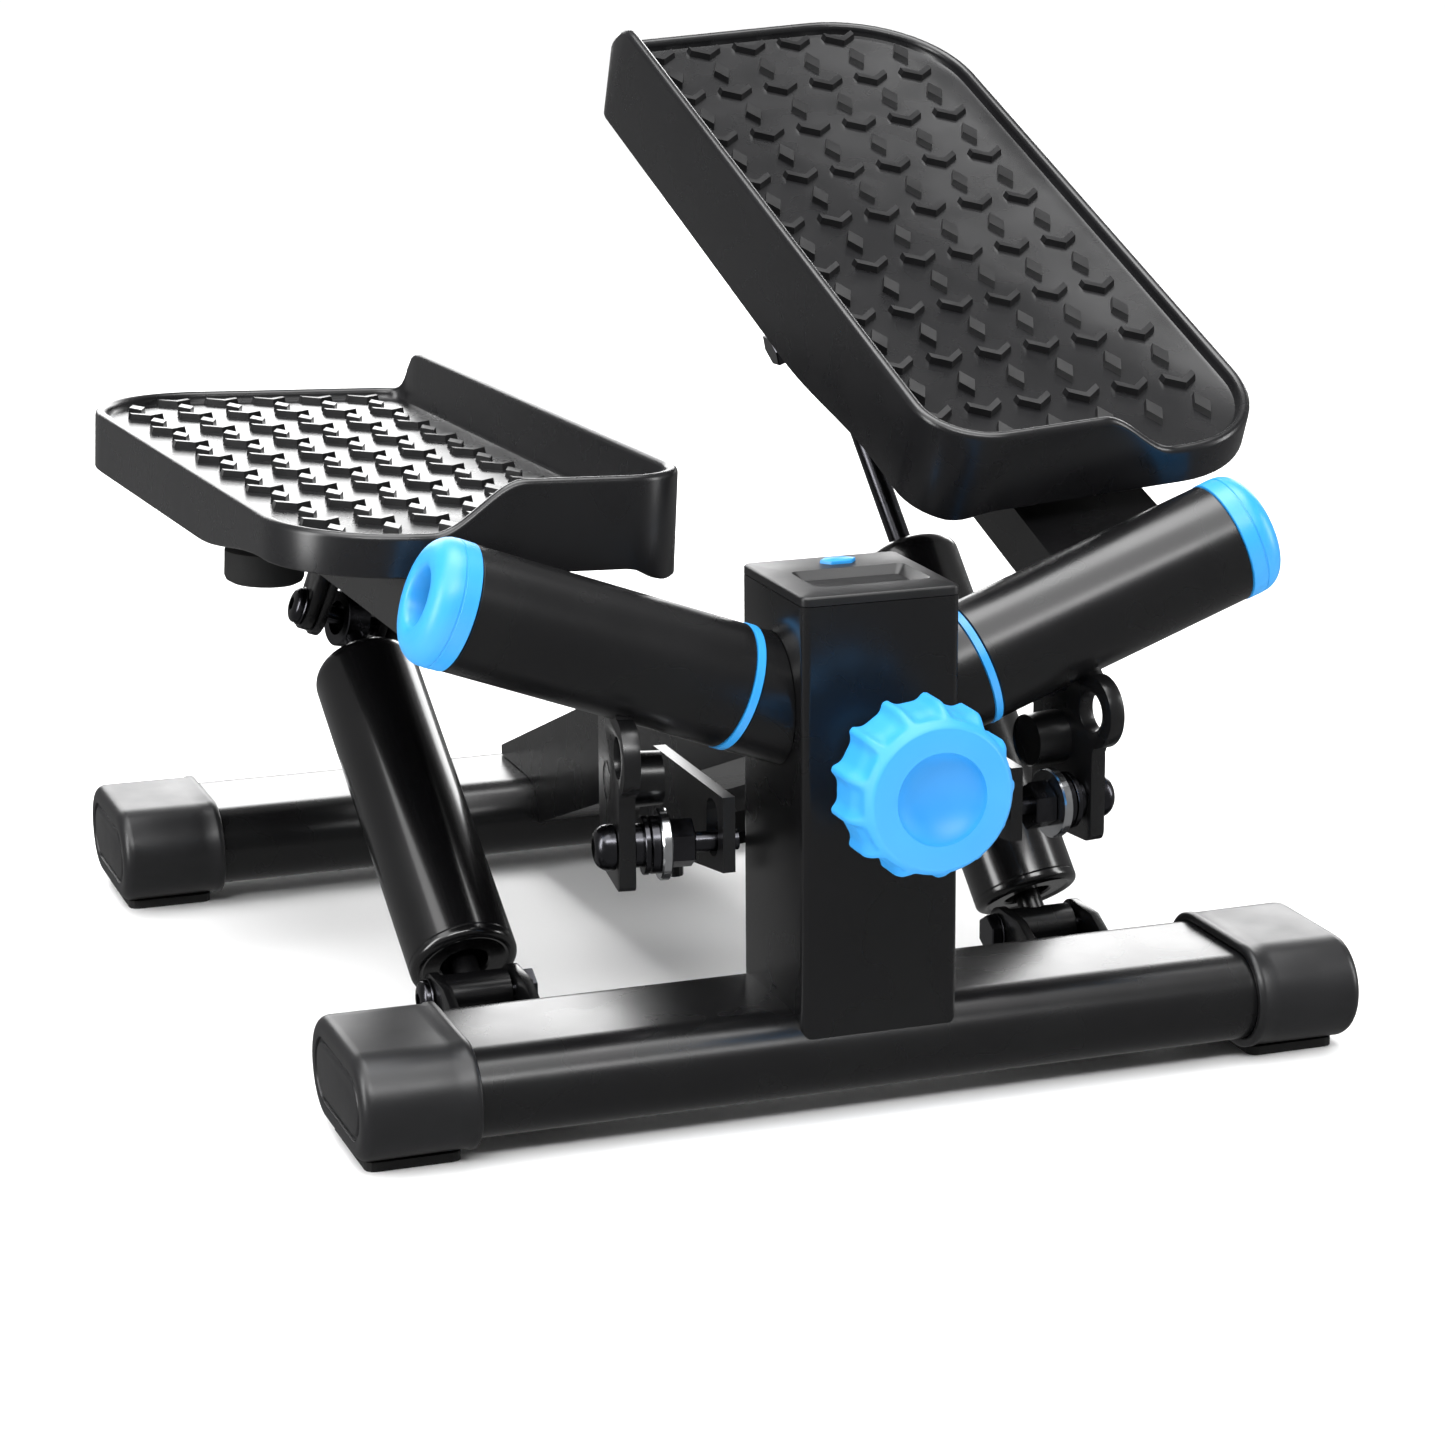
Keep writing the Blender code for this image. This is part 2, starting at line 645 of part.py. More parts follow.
def tray_outline(inset):
    """Points round the tray's plan, evenly enough to carry its changing rim."""
    corners = (CORNER_FRONT_IN, CORNER_FRONT_OUT, CORNER_REAR_OUT, CORNER_REAR_IN)
    radii = [radius - inset for radius in corners]
    x0, x1 = TRAY_INNER + inset, TRAY_OUTER - inset
    y0, y1 = TRAY_FRONT + inset, TRAY_REAR - inset
    corner_points = rounded(x0, x1, y0, y1, radii, 6)
    toe = [TOE_FALL[0] + (TOE_FALL[1] - TOE_FALL[0]) * i / 6 for i in range(7)]
    outer = [SKIRT_RISE[1] + (SKIRT_RISE[0] - SKIRT_RISE[1]) * i / 3 for i in range(4)]
    inner = [SKIRT_RISE[0] + (SKIRT_RISE[1] - SKIRT_RISE[0]) * i / 3 for i in range(4)]
    quarter = len(corner_points) // 4
    points = corner_points[:quarter]
    points += [(x, y0) for x in toe]
    points += corner_points[quarter:2 * quarter]
    points += [(x1, y) for y in outer]
    points += corner_points[2 * quarter:]
    points += [(x0, y) for y in inner]
    return points


def tray(side, swing, finish):
    """The moulded foot tray: floor, raised rim, toe wall and hollow skirt."""
    outside, inside = tray_outline(0.0), tray_outline(TRAY_WALL)
    lip = tray_outline(0.0012)
    inner_lip = tray_outline(TRAY_WALL - 0.0012)
    skirt = tray_outline(TRAY_WALL - 0.0010)
    height = [rim_height(x, y) for x, y in outside]
    depth = [skirt_depth(x, y) for x, y in outside]

    def loop(outline, heights):
        return [(x, y, z) for (x, y), z in zip(outline, heights)]

    count = len(outside)
    loops = [loop(skirt, [-TRAY_FLOOR] * count), loop(skirt, depth), loop(outside, depth),
             loop(outside, [h - 0.0014 for h in height]), loop(lip, height),
             loop(inner_lip, height), loop(inside, [h - 0.0014 for h in height]),
             loop(inside, [0.0] * count)]
    return add("pedal_tray_" + side.name, skin(loops), finish, PEDAL_FRAME, side, True, swing)


def bumper(side, swing, finish):
    """The rubber buffer under the tray."""
    x, y = BUMPER_AT
    top = -TRAY_FLOOR - GAP
    profile = [(BUMPER_R - 0.0030, top), (BUMPER_R - 0.0030, BUMPER_BOTTOM + 0.0150),
               (BUMPER_R, BUMPER_BOTTOM + 0.0140), (BUMPER_R, BUMPER_BOTTOM + 0.0030),
               (BUMPER_R - 0.0020, BUMPER_BOTTOM)]
    frame = PEDAL_FRAME @ Matrix.Translation((x, y, 0))
    return add("pedal_bumper_" + side.name, turned(profile), finish, frame, side, True, swing)


def arm(side, swing, finish):
    """The box-section arm welded to the hub tube and bolted under the tray."""
    hub_in_pedal = PEDAL_FRAME.inverted() @ HUB_FRAME
    front = (hub_in_pedal @ Vector((COLLAR_END, 0, 0))).y

    def outline(inset):
        return [(ARM_INNER + inset, front), (ARM_OUTER - inset, front),
                (ARM_OUTER_REAR - inset, ARM_REAR - inset),
                (ARM_INNER_REAR + inset, ARM_REAR - inset)]

    made = add("pedal_arm_" + side.name, prism(outline(0), ARM_BOTTOM, ARM_TOP, "Z"), finish,
               PEDAL_FRAME, side, True, swing)
    bore = along_x(turned([(HUB_R + GAP, 0.0), (HUB_R + GAP, 0.30)]))
    under = box((-0.05, -0.08, -0.20), (0.35, 0.0275, -0.0100))
    inner = prism(outline(ARM_WALL), ARM_BOTTOM + ARM_WALL, ARM_TOP - ARM_WALL, "Z")
    cut(made, helper("arm_hollow_" + side.name, inner, PEDAL_FRAME, side, True),
        helper("arm_seat_" + side.name, bore, HUB_FRAME, side, True),
        helper("arm_notch_" + side.name, under, HUB_FRAME, side, True))
    return made


# ---- dampers -----------------------------------------------------------------
def head_point():
    return PEDAL_FRAME @ Vector(DAMPER_HEAD)


def damper_head(side, swing, black, steel):
    """The U-shaped bracket under the arm, and the bolt through its two ears."""
    frame = Matrix.Translation(head_point()) @ rotation("Y", -HUB_RISE)
    near, far = HEAD_EAR_GAP / 2, HEAD_EAR_GAP / 2 + HEAD_EAR
    top, web, flare = 0.060, 0.0160, HEAD_EAR_R + 0.004
    plate = box((-near - 0.001, -flare, web), (near + 0.001, flare, top))
    made = add("damper_head_" + side.name, plate, black, frame, side, True, swing)
    for label, start, end in (("inner", -far, -near), ("outer", near, far)):
        ear = prism(tab(HEAD_EAR_R, [(-flare, top + 0.001), (flare, top + 0.001)]),
                    start, end, "X")
        join(made, helper("head_ear_%s_%s" % (label, side.name), ear, frame, side, True))
    above = box((-0.10, -0.40, ARM_BOTTOM - GAP), (0.20, 0.10, 0.10))
    drill = along_x(turned([(HEAD_BOLT_R + GAP, -0.03), (HEAD_BOLT_R + GAP, 0.03)],
                           ROUND_SMALL))
    cut(made, helper("head_trim_" + side.name, above, PEDAL_FRAME, side, True),
        helper("head_drill_" + side.name, drill, frame, side, True))
    add_bolt("damper_head_bolt_" + side.name, HEAD_BOLT_R, far + GAP, steel, frame, side,
             True, swing)


def add_bolt(name, shank, half, finish, frame, side, swings=False, parent=None):
    """A button-head bolt with its nut, across a bracket of a given half width."""
    head = half + BOLT_HEAD
    profile = [(NUT_R, -half - NUT), (NUT_R, -half), (shank, -half), (shank, half),
               (BOLT_HEAD_R, half), (BOLT_HEAD_R, half + 0.0016),
               (BOLT_HEAD_R - 0.0030, head - 0.0004), (0.0032, head), (0.0030, head),
               (0.0030, head - 0.0024)]
    return add(name, along_x(turned(profile, ROUND_SMALL)), finish, frame, side, swings, parent)


def damper_foot(side, black, steel):
    """The clevis on a tongue behind the front crossbar, and its bolt."""
    x, y, z = DAMPER_FOOT
    near, far = FOOT_EAR_GAP / 2, FOOT_EAR_GAP / 2 + FOOT_EAR
    floor = FOOT_PLATE_Z
    low = floor + 0.001 - z
    plate = box((x - far - 0.001, BAR_FLAT / 2, floor),
                (x + far + 0.001, y + FOOT_EAR_R + 0.001, floor + FOOT_PLATE))
    made = add("damper_foot_" + side.name, plate, black, side=side)
    frame = Matrix.Translation(DAMPER_FOOT)
    for label, start, end in (("inner", -far, -near), ("outer", near, far)):
        ear = prism(tab(FOOT_EAR_R, [(-FOOT_EAR_R - 0.036, -0.002),
                                     (-FOOT_EAR_R - 0.036, low), (FOOT_EAR_R, low)]),
                    start, end, "X")
        join(made, helper("foot_ear_%s_%s" % (label, side.name), ear, frame, side))
    drill = along_x(turned([(FOOT_BOLT_R + GAP, -0.03), (FOOT_BOLT_R + GAP, 0.03)],
                           ROUND_SMALL))
    cut(made, bar_cutter("foot_saddle_" + side.name, 0.0),
        helper("foot_drill_" + side.name, drill, frame, side))
    add_bolt("damper_foot_bolt_" + side.name, FOOT_BOLT_R, far + GAP, steel, frame, side)


def damper_angles(side):
    """Pitch back and lean out of a damper, and its length, at the side's pose."""
    swung = side.swing @ head_point() - Vector(DAMPER_FOOT)
    length = swung.length
    return (math.degrees(math.atan2(swung.y, swung.z)),
            math.degrees(math.asin(swung.x / length)), length)


def middle_lean():
    return (damper_angles(LEFT)[1] + damper_angles(RIGHT)[1]) / 2


def head_bolt_axis():
    """Direction of the upper bolt as the rod sees it, midway through the swing."""
    seen = Vector((0, 0, 0))
    for side in SIDES:
        pitch, lean, _ = damper_angles(side)
        tilt = rotation("X", -pitch) @ rotation("Y", lean)
        seen += tilt.inverted() @ HUB_FRAME.col[0].xyz
    return seen.normalized()


def damper(side, black, steel):
    """Lower eye, cylinder and rod; the cylinder's socket sits on the eye's stub."""
    pitch, lean, length = damper_angles(side)
    pitched = Matrix.Translation(DAMPER_FOOT) @ rotation("X", -pitch)
    leaning = pitched @ rotation("Y", lean)
    low = pivot("damper_pitch_" + side.name, pitched, side)
    tilt = pivot("damper_lean_" + side.name, leaning, side)
    slide = pivot("damper_slide_" + side.name, leaning, side)

    stub_frame = pitched @ rotation("Y", middle_lean())
    half = FOOT_EYE_WIDTH / 2
    hole = FOOT_BOLT_R + RUN
    barrel = along_x(turned([(hole, -half), (FOOT_EYE_R, -half), (FOOT_EYE_R, half),
                             (hole, half)], hollow=True))
    eye = add("damper_eye_" + side.name, barrel, black, pitched, side, parent=low)
    stub = turned([(0.0055, hole + 0.0015), (0.0055, DAMPER_START + DAMPER_SOCKET * 0.5),
                   (0.0040, DAMPER_START + DAMPER_SOCKET * 0.65)], ROUND_SMALL)
    join(eye, helper("eye_stub_" + side.name, stub, stub_frame, side))

    start, end = DAMPER_START, DAMPER_END
    bore_low, bore_high = start + DAMPER_SOCKET + 0.006, end - 0.008
    seal = ROD_R + RUN
    profile = [(0.001, start + DAMPER_SOCKET), (DAMPER_SOCKET_R, start + DAMPER_SOCKET),
               (DAMPER_SOCKET_R, start + 0.0005), (DAMPER_SOCKET_R + 0.0020, start),
               (DAMPER_R - 0.0035, start), (DAMPER_R - 0.0010, start + 0.0012),
               (DAMPER_R, start + 0.0040), (DAMPER_R, end - 0.0085),
               (DAMPER_R - 0.0012, end - 0.0045), (DAMPER_R - 0.0042, end - 0.0014),
               (DAMPER_R - 0.0085, end), (seal, end),
               (seal, bore_high), (DAMPER_BORE_R, bore_high), (DAMPER_BORE_R, bore_low),
               (0.001, bore_low)]
    add("damper_body_" + side.name, turned(profile), black, leaning, side, parent=tilt)

    piston = DAMPER_BORE_R - RUN
    low_end = length - (damper_angles(LEFT)[2] - PISTON_STATION)
    neck = length - HEAD_EYE_R + 0.002
    shaft = [(piston, low_end), (piston, low_end + PISTON_LENGTH),
             (ROD_R, low_end + PISTON_LENGTH), (ROD_R, neck)]
    rod = add("damper_rod_" + side.name, turned(shaft), steel, leaning, side, parent=slide)
    half = HEAD_EYE_WIDTH / 2
    loop = along_x(turned([(HEAD_EYE_HOLE, -half), (HEAD_EYE_R, -half), (HEAD_EYE_R, half),
                           (HEAD_EYE_HOLE, half)], hollow=True))
    turned_to_bolt = Vector((1, 0, 0)).rotation_difference(head_bolt_axis())
    top_frame = leaning @ Matrix.Translation((0, 0, length)) @ turned_to_bolt.to_matrix().to_4x4()
    join(rod, helper("rod_eye_" + side.name, loop, top_frame, side))


# ---- linkage -----------------------------------------------------------------
def bracket_frame():
    x, y = BRACKET_AT
    return Matrix.Translation((x, y, 0)) @ rotation("Z", BRACKET_YAW)


def link_bracket(side, swing, black, steel):
    """The lobed plate with its sleeve, and the bolt that drives the link.

    Each is welded on so that it hangs straight down in the stored pose."""
    name = side.name
    frame = bracket_frame()
    half, thick = BRACKET_DEPTH / 2, BRACKET_THICK / 2
    top, low = HUB_Z + 0.030, BRACKET_BOTTOM
    outline = [(-half, low + 0.004), (-half + 0.0012, low + 0.0012), (-half + 0.004, low),
               (half - 0.004, low), (half - 0.0012, low + 0.0012), (half, low + 0.004),
               (half, top), (-half, top)]
    made = add("link_bracket_" + name, prism(outline, -thick, thick, "X"), black, frame, side,
               parent=swing)
    lobe_frame = frame @ Matrix.Translation((0, *BRACKET_LOBE_AT))
    lobe = along_x(turned([(BRACKET_LOBE_R, -thick), (BRACKET_LOBE_R, thick)]))
    hole = along_x(turned([(BRACKET_HOLE_R, -0.02), (BRACKET_HOLE_R, 0.02)]))
    sleeve_frame = frame @ Matrix.Translation((0, *SLEEVE_AT))
    sleeve = along_x(turned([(SLEEVE_R, -thick - SLEEVE_LENGTH), (SLEEVE_R, 0.0)]))
    recess = along_x(turned([(SLEEVE_HOLE_R, -thick - SLEEVE_LENGTH + 0.004),
                             (SLEEVE_HOLE_R, 0.02)]))
    join(made, helper("bracket_lobe_" + name, lobe, lobe_frame, side),
         helper("bracket_sleeve_" + name, sleeve, sleeve_frame, side))
    around = HUB_R + 2 * GAP    # clears the tube's facets at any turn
    seat = along_x(turned([(around, 0.0), (around, 0.30)]))
    above = box((0.0, -0.10, -0.0100), (0.30, 0.10, 0.10))
    bolt_frame = frame @ Matrix.Translation((0, *LINK_BOLT_AT))
    drill = along_x(turned([(LINK_BOLT_R + GAP, -0.02), (LINK_BOLT_R + GAP, 0.02)],
                           ROUND_SMALL))
    cut(made, helper("bracket_hole_" + name, hole, lobe_frame, side),
        helper("bracket_recess_" + name, recess, sleeve_frame, side),
        helper("bracket_seat_" + name, seat, HUB_FRAME, side),
        helper("bracket_trim_" + name, above, HUB_FRAME, side),
        helper("bracket_drill_" + name, drill, bolt_frame, side))

    inner = -(BRACKET_AT[0] - LINK_BOLT_END)
    outer = thick + GAP
    head = outer + LINK_HEAD
    spacer = -outer - LINK_SPACER
    washer = spacer - LINK_WASHER
    nut = washer - LINK_NUT
    profile = [(LINK_BOLT_R, inner), (LINK_BOLT_R, nut), (LINK_NUT_R, nut), (LINK_NUT_R, washer),
               (LINK_WASHER_R, washer), (LINK_WASHER_R, spacer), (LINK_SPACER_R, spacer),
               (LINK_SPACER_R, -outer), (LINK_BOLT_R, -outer), (LINK_BOLT_R, outer),
               (LINK_HEAD_R, outer), (LINK_HEAD_R, outer + 0.0030),
               (LINK_HEAD_R - 0.0024, head - 0.0018), (0.0036, head), (0.0030, head),
               (0.0030, head - 0.0030)]
    add("link_bolt_" + name, along_x(turned(profile, ROUND_SMALL)), steel, bolt_frame, side,
        parent=swing)


def link_bolt_point(raised=0.0):
    """The link bolt's inner end, in side axes, with its pedal raised by so much."""
    reach = (LINK_PLANE - BRACKET_AT[0]) / math.cos(math.radians(BRACKET_YAW))
    turn = HUB_FRAME @ rotation("X", raised) @ HUB_FRAME.inverted()
    return turn @ (bracket_frame() @ Vector((reach, *LINK_BOLT_AT)))


def rocker_angle():
    """Turn of the rocker at rest, seen from above; half of its whole travel."""
    ahead, back = link_bolt_point(-SWING).y, link_bolt_point(SWING).y
    return math.degrees(math.asin((back - ahead) / 4 / ROCKER_ARM))


def rocker(black, steel):
    """The flat rocker on its upright pin, hung under the spine beam."""
    turn = pivot("rocker_turn", Matrix.Translation((0, ROCKER_Y, ROCKER_Z))
                 @ rotation("Z", rocker_angle()))
    frame = turn.matrix_world.copy()
    half = ROCKER_THICK / 2
    arm_end = ROCKER_ARM
    width = ROCKER_WIDTH / 2
    outline = rounded(-arm_end - ROCKER_LUG_R, arm_end + ROCKER_LUG_R, -width, width,
                      [0.008] * 4, 3)
    bar = add("rocker", prism(outline, -half, half, "Z"), black, frame, parent=turn)
    boss = turned([(ROCKER_PIN_R + 0.006, -half - 0.008), (ROCKER_PIN_R + 0.006, half + 0.008)])
    join(bar, helper("rocker_boss", boss, frame))
    for sign, label in ((-1, "left"), (1, "right")):
        pin = turned([(LINK_PIN_R, -half - 0.012), (LINK_PIN_R, half + 0.012)], ROUND_SMALL)
        spot = frame @ Matrix.Translation((sign * arm_end, 0, 0))
        join(bar, helper("rocker_stud_" + label, pin, spot))
    bore = turned([(ROCKER_PIN_R + RUN, -0.03), (ROCKER_PIN_R + RUN, 0.03)], ROUND_SMALL)
    cut(bar, helper("rocker_bore", bore, frame))

    low = ROCKER_Z - half - 0.008 - RUN
    top = spine_edges(ROCKER_Y)[0] + SPINE_WALL
    profile = [(ROCKER_PIN_R + 0.004, low - 0.005), (ROCKER_PIN_R + 0.004, low),
               (ROCKER_PIN_R, low), (ROCKER_PIN_R, top)]
    pin = add("rocker_pin", turned(profile, ROUND_SMALL), steel,
              Matrix.Translation((0, ROCKER_Y, 0)))
    front = POST_MID_Y + POST_DEPTH / 2 + GAP
    rear = ROCKER_Y + 0.05
    above = [(front, spine_edges(front)[0] - GAP), (rear, spine_edges(rear)[0] - GAP),
             (rear, 0.3), (front, 0.3)]
    cut(pin, helper("pin_trim", prism(above, -0.05, 0.05, "X")))


def link(side, finish):
    """A flat link from the rocker's stud to the bracket's bolt, slotted for it."""
    angle = math.radians(rocker_angle())
    stud_x = ROCKER_ARM * math.cos(angle)
    shift = ROCKER_ARM * math.sin(angle)
    stud_y = ROCKER_Y - shift if side.sign < 0 else ROCKER_Y + shift
    bolt = link_bolt_point()
    frame = Matrix.Translation((stud_x, stud_y, ROCKER_Z))
    turn = pivot("link_turn_" + side.name, frame, side)
    reach = stud_y - bolt.y
    plane = LINK_PLANE - stud_x
    half = LINK_PLATE / 2
    heights = [link_bolt_point(raised).z for raised in (-SWING, 0.0, SWING)]
    mid = (min(heights) + max(heights)) / 2 - ROCKER_Z
    top, base = mid + LINK_HEIGHT / 2, mid - LINK_HEIGHT / 2
    nose = -reach - LINK_SLOT_R - 0.006
    foot = ROCKER_THICK / 2 + RUN
    outline = [(nose, base), (-0.020, foot), (LINK_PIN_R + 0.005, foot),
               (LINK_PIN_R + 0.005, foot + 0.006), (-0.012, top), (nose, top)]
    made = add("link_" + side.name, prism(outline, plane - half, plane + half, "X"), finish,
               frame, side, parent=turn)
    wrap = LINK_PIN_R + 0.0045
    across = [(wrap * math.sin(a), wrap * math.cos(a)) for a in
              [-math.pi * i / 8 for i in range(9)]]
    step = prism(across + [(plane, -wrap), (plane, wrap)], foot + 0.0005, foot + 0.0055, "Z")
    join(made, helper("link_step_" + side.name, step, frame, side))
    slot = rounded(-reach - LINK_SLOT_R, -reach + LINK_SLOT_R, mid - LINK_SLOT_RISE / 2
                   - LINK_SLOT_R * 0.5, mid + LINK_SLOT_RISE / 2 + LINK_SLOT_R * 0.5,
                   [LINK_SLOT_R * 0.9] * 4, 3)
    bore = turned([(LINK_PIN_R + RUN, -0.01), (LINK_PIN_R + RUN, 0.03)], ROUND_SMALL)
    cut(made, helper("link_slot_" + side.name, prism(slot, -0.03, 0.03, "X"), frame, side),
        helper("link_bore_" + side.name, bore, frame, side))


# ---- the whole object --------------------------------------------------------
def centre_on_floor():
    """Put the origin under the middle of the whole object's box, on the floor."""
    bpy.context.view_layer.update()
    shapes = bpy.context.evaluated_depsgraph_get()
    low, high = Vector((9, 9, 9)), Vector((-9, -9, -9))
    for thing in bpy.data.objects:
        if thing.type != "MESH" or thing.hide_render:
            continue
        drawn = thing.evaluated_get(shapes)
        for vertex in drawn.data.vertices:
            point = drawn.matrix_world @ vertex.co
            low = Vector(map(min, low, point))
            high = Vector(map(max, high, point))
    shift = Vector(((low.x + high.x) / 2, (low.y + high.y) / 2, low.z))
    for thing in bpy.data.objects:
        if thing.parent is None:
            thing.matrix_world = Matrix.Translation(-shift) @ thing.matrix_world
    bpy.context.view_layer.update()


def build():
    clear_scene()
    black = material("black powder coat", BLACK, 0.28, 0.0)
    gloss = material("gloss black paint", BLACK, 0.14, 0.0)
    plastic = material("black moulded plastic", SOFT_BLACK, 0.45, 0.0)
    rubber = material("black rubber", SOFT_BLACK, 0.75, 0.0)
    blue = material("sky blue plastic", BLUE, 0.42, 0.0)
    nylon = material("grey nylon", (0.30, 0.30, 0.30), 0.5, 0.0)
    steel = material("zinc plated steel", STEEL, 0.25, 1.0)
    clear = material("display window", (0.10, 0.11, 0.11), 0.08, 0.0)

    for end, length, mid_y in (("front", FRONT_BAR_LENGTH, 0.0),
                               ("rear", REAR_BAR_LENGTH, REAR_BAR_Y)):
        crossbar(end + "_crossbar", length, mid_y, black)
        for side in SIDES:
            end_cap("end_cap_%s_%s" % (end, side.name), side, length, mid_y, plastic)
            foot_pad("foot_pad_%s_%s" % (end, side.name), side, length, mid_y, rubber)
    post(black)
    spine(black)
    console(plastic, clear, blue)
    knob(blue, steel)
    for side in SIDES:
        swing = pivot("pedal_swing_" + side.name, HUB_FRAME, side, True)
        hub_parts(side, swing, black, blue, nylon, steel)
        arm(side, swing, black)
        tray(side, swing, plastic)
        bumper(side, swing, rubber)
        damper_head(side, swing, black, steel)
        damper_foot(side, black, steel)
        damper(side, gloss, steel)
        link_bracket(side, swing, black, steel)
        link(side, black)
    rocker(black, steel)
    centre_on_floor()


build()
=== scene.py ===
"""A twist stepper with slanted hubs and two dampers, dressed over its CAD frame."""
import json
import math

import bmesh
import bpy
from mathutils import Matrix, Vector


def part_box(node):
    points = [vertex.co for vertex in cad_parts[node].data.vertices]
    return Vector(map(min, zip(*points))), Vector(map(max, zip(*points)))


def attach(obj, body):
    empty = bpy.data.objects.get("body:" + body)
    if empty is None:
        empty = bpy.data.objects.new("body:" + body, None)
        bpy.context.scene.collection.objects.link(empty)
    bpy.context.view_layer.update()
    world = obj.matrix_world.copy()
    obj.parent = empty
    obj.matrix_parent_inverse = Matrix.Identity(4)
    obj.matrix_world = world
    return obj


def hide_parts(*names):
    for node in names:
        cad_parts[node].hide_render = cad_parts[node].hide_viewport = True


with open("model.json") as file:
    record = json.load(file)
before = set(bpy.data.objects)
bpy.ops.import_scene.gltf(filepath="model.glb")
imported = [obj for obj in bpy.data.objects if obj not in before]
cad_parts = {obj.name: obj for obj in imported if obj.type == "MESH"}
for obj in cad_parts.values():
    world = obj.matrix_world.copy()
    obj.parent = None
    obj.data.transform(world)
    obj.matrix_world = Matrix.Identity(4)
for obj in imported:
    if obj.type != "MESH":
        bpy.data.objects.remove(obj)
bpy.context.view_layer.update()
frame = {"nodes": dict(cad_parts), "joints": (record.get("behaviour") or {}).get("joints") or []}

# ---- front and rear crossbars ---------------------------------------------------
# Flat-oval steel tubes that the whole stepper stands on.  They are powder coated in
# black: baked polyester, evenly satin, with a very fine orange peel in the gloss.
BAR_FLAT = 0.043
BAR_RADIUS = 0.018
BAR_FACETS = 28
BAR_END = 0.010             # plain length inside each cap
GAP = 0.0003                # between pieces that touch


def add_node(tree, kind, inputs=None, **settings):
    """A node with its settings; an input takes a value or another node's output."""
    made = tree.nodes.new(kind)
    for name, value in settings.items():
        setattr(made, name, value)
    for name, value in (inputs or {}).items():
        if isinstance(value, bpy.types.NodeSocket):
            tree.links.new(value, made.inputs[name])
        else:
            made.inputs[name].default_value = value
    return made


def linear(hex_colour):
    """An sRGB hex colour as linear red, green, blue and alpha."""
    out = []
    for i in (0, 2, 4):
        part = int(hex_colour[i:i + 2], 16) / 255
        out.append(part / 12.92 if part <= 0.04045 else ((part + 0.055) / 1.055) ** 2.4)
    return (*out, 1.0)


def finish(name, dark, light, mottle_mm, rough, grain_mm, grain_depth_mm, metallic=0.0,
           coat=0.0, coat_rough=0.1, ior=1.5):
    """A finish whose colour drifts between two shades over mottle_mm, with grain bump."""
    made = bpy.data.materials.new(name)
    made.use_nodes = True
    tree = made.node_tree
    shader = tree.nodes["Principled BSDF"]
    place = add_node(tree, "ShaderNodeTexCoord").outputs["Object"]
    mottle = add_node(tree, "ShaderNodeTexNoise",
                      {"Vector": place, "Scale": 1000 / mottle_mm, "Detail": 3.0})
    colour = add_node(tree, "ShaderNodeMix", {0: mottle.outputs["Fac"]}, data_type="RGBA")
    colour.inputs["A"].default_value = linear(dark)
    colour.inputs["B"].default_value = linear(light)
    gloss = add_node(tree, "ShaderNodeMapRange",
                     {"Value": mottle.outputs["Fac"], "From Min": 0.3, "From Max": 0.7,
                      "To Min": rough[0], "To Max": rough[1]})
    grain = add_node(tree, "ShaderNodeTexNoise",
                     {"Vector": place, "Scale": 1000 / grain_mm, "Detail": 2.0})
    bump = add_node(tree, "ShaderNodeBump",
                    {"Height": grain.outputs["Fac"], "Strength": 1.0,
                     "Distance": grain_depth_mm / 1000})
    tree.links.new(colour.outputs["Result"], shader.inputs["Base Color"])
    tree.links.new(gloss.outputs["Result"], shader.inputs["Roughness"])
    tree.links.new(bump.outputs["Normal"], shader.inputs["Normal"])
    shader.inputs["Metallic"].default_value = metallic
    shader.inputs["IOR"].default_value = ior
    shader.inputs["Coat Weight"].default_value = coat
    shader.inputs["Coat Roughness"].default_value = coat_rough
    return made


powder_coat = finish("black powder coat", "0a0a0b", "101011", 40, (0.24, 0.30), 1.6, 0.008)


def piece(name, bm, material, body, slot, *nodes, sharp=30):
    """A finished mesh that rides on a body and stands for the CAD nodes it names."""
    bmesh.ops.remove_doubles(bm, verts=bm.verts, dist=1e-6)
    bmesh.ops.recalc_face_normals(bm, faces=bm.faces)
    mesh = bpy.data.meshes.new(name)
    bm.to_mesh(mesh)
    bm.free()
    mesh.shade_smooth()
    mesh.set_sharp_from_angle(angle=math.radians(sharp))
    mesh.materials.append(material)
    made = bpy.data.objects.new(name, mesh)
    bpy.context.scene.collection.objects.link(made)
    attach(made, body)
    if nodes:
        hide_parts(*nodes)
    return made


def oval(radius, x, mid_y, mid_z):
    """A flat-oval outline at one station along X."""
    loop = []
    for centre, start in ((BAR_FLAT / 2, -90), (-BAR_FLAT / 2, 90)):
        for i in range(BAR_FACETS + 1):
            turn = math.radians(start + 180 * i / BAR_FACETS)
            loop.append((x, mid_y + centre + radius * math.cos(turn),
                         mid_z + radius * math.sin(turn)))
    return loop


def skin(loops, closed=False):
    """Bridge loops of equal length in order; a closed skin joins the last to the first."""
    bm = bmesh.new()
    rows = [[bm.verts.new(point) for point in loop] for loop in loops]
    pairs = list(zip(rows, rows[1:]))
    if closed:
        pairs.append((rows[-1], rows[0]))
    for low, high in pairs:
        for i in range(len(low)):
            j = (i + 1) % len(low)
            bm.faces.new((low[i], low[j], high[j], high[i]))
    if not closed:
        bm.faces.new(list(reversed(rows[0])))
        bm.faces.new(rows[-1])
    return bm


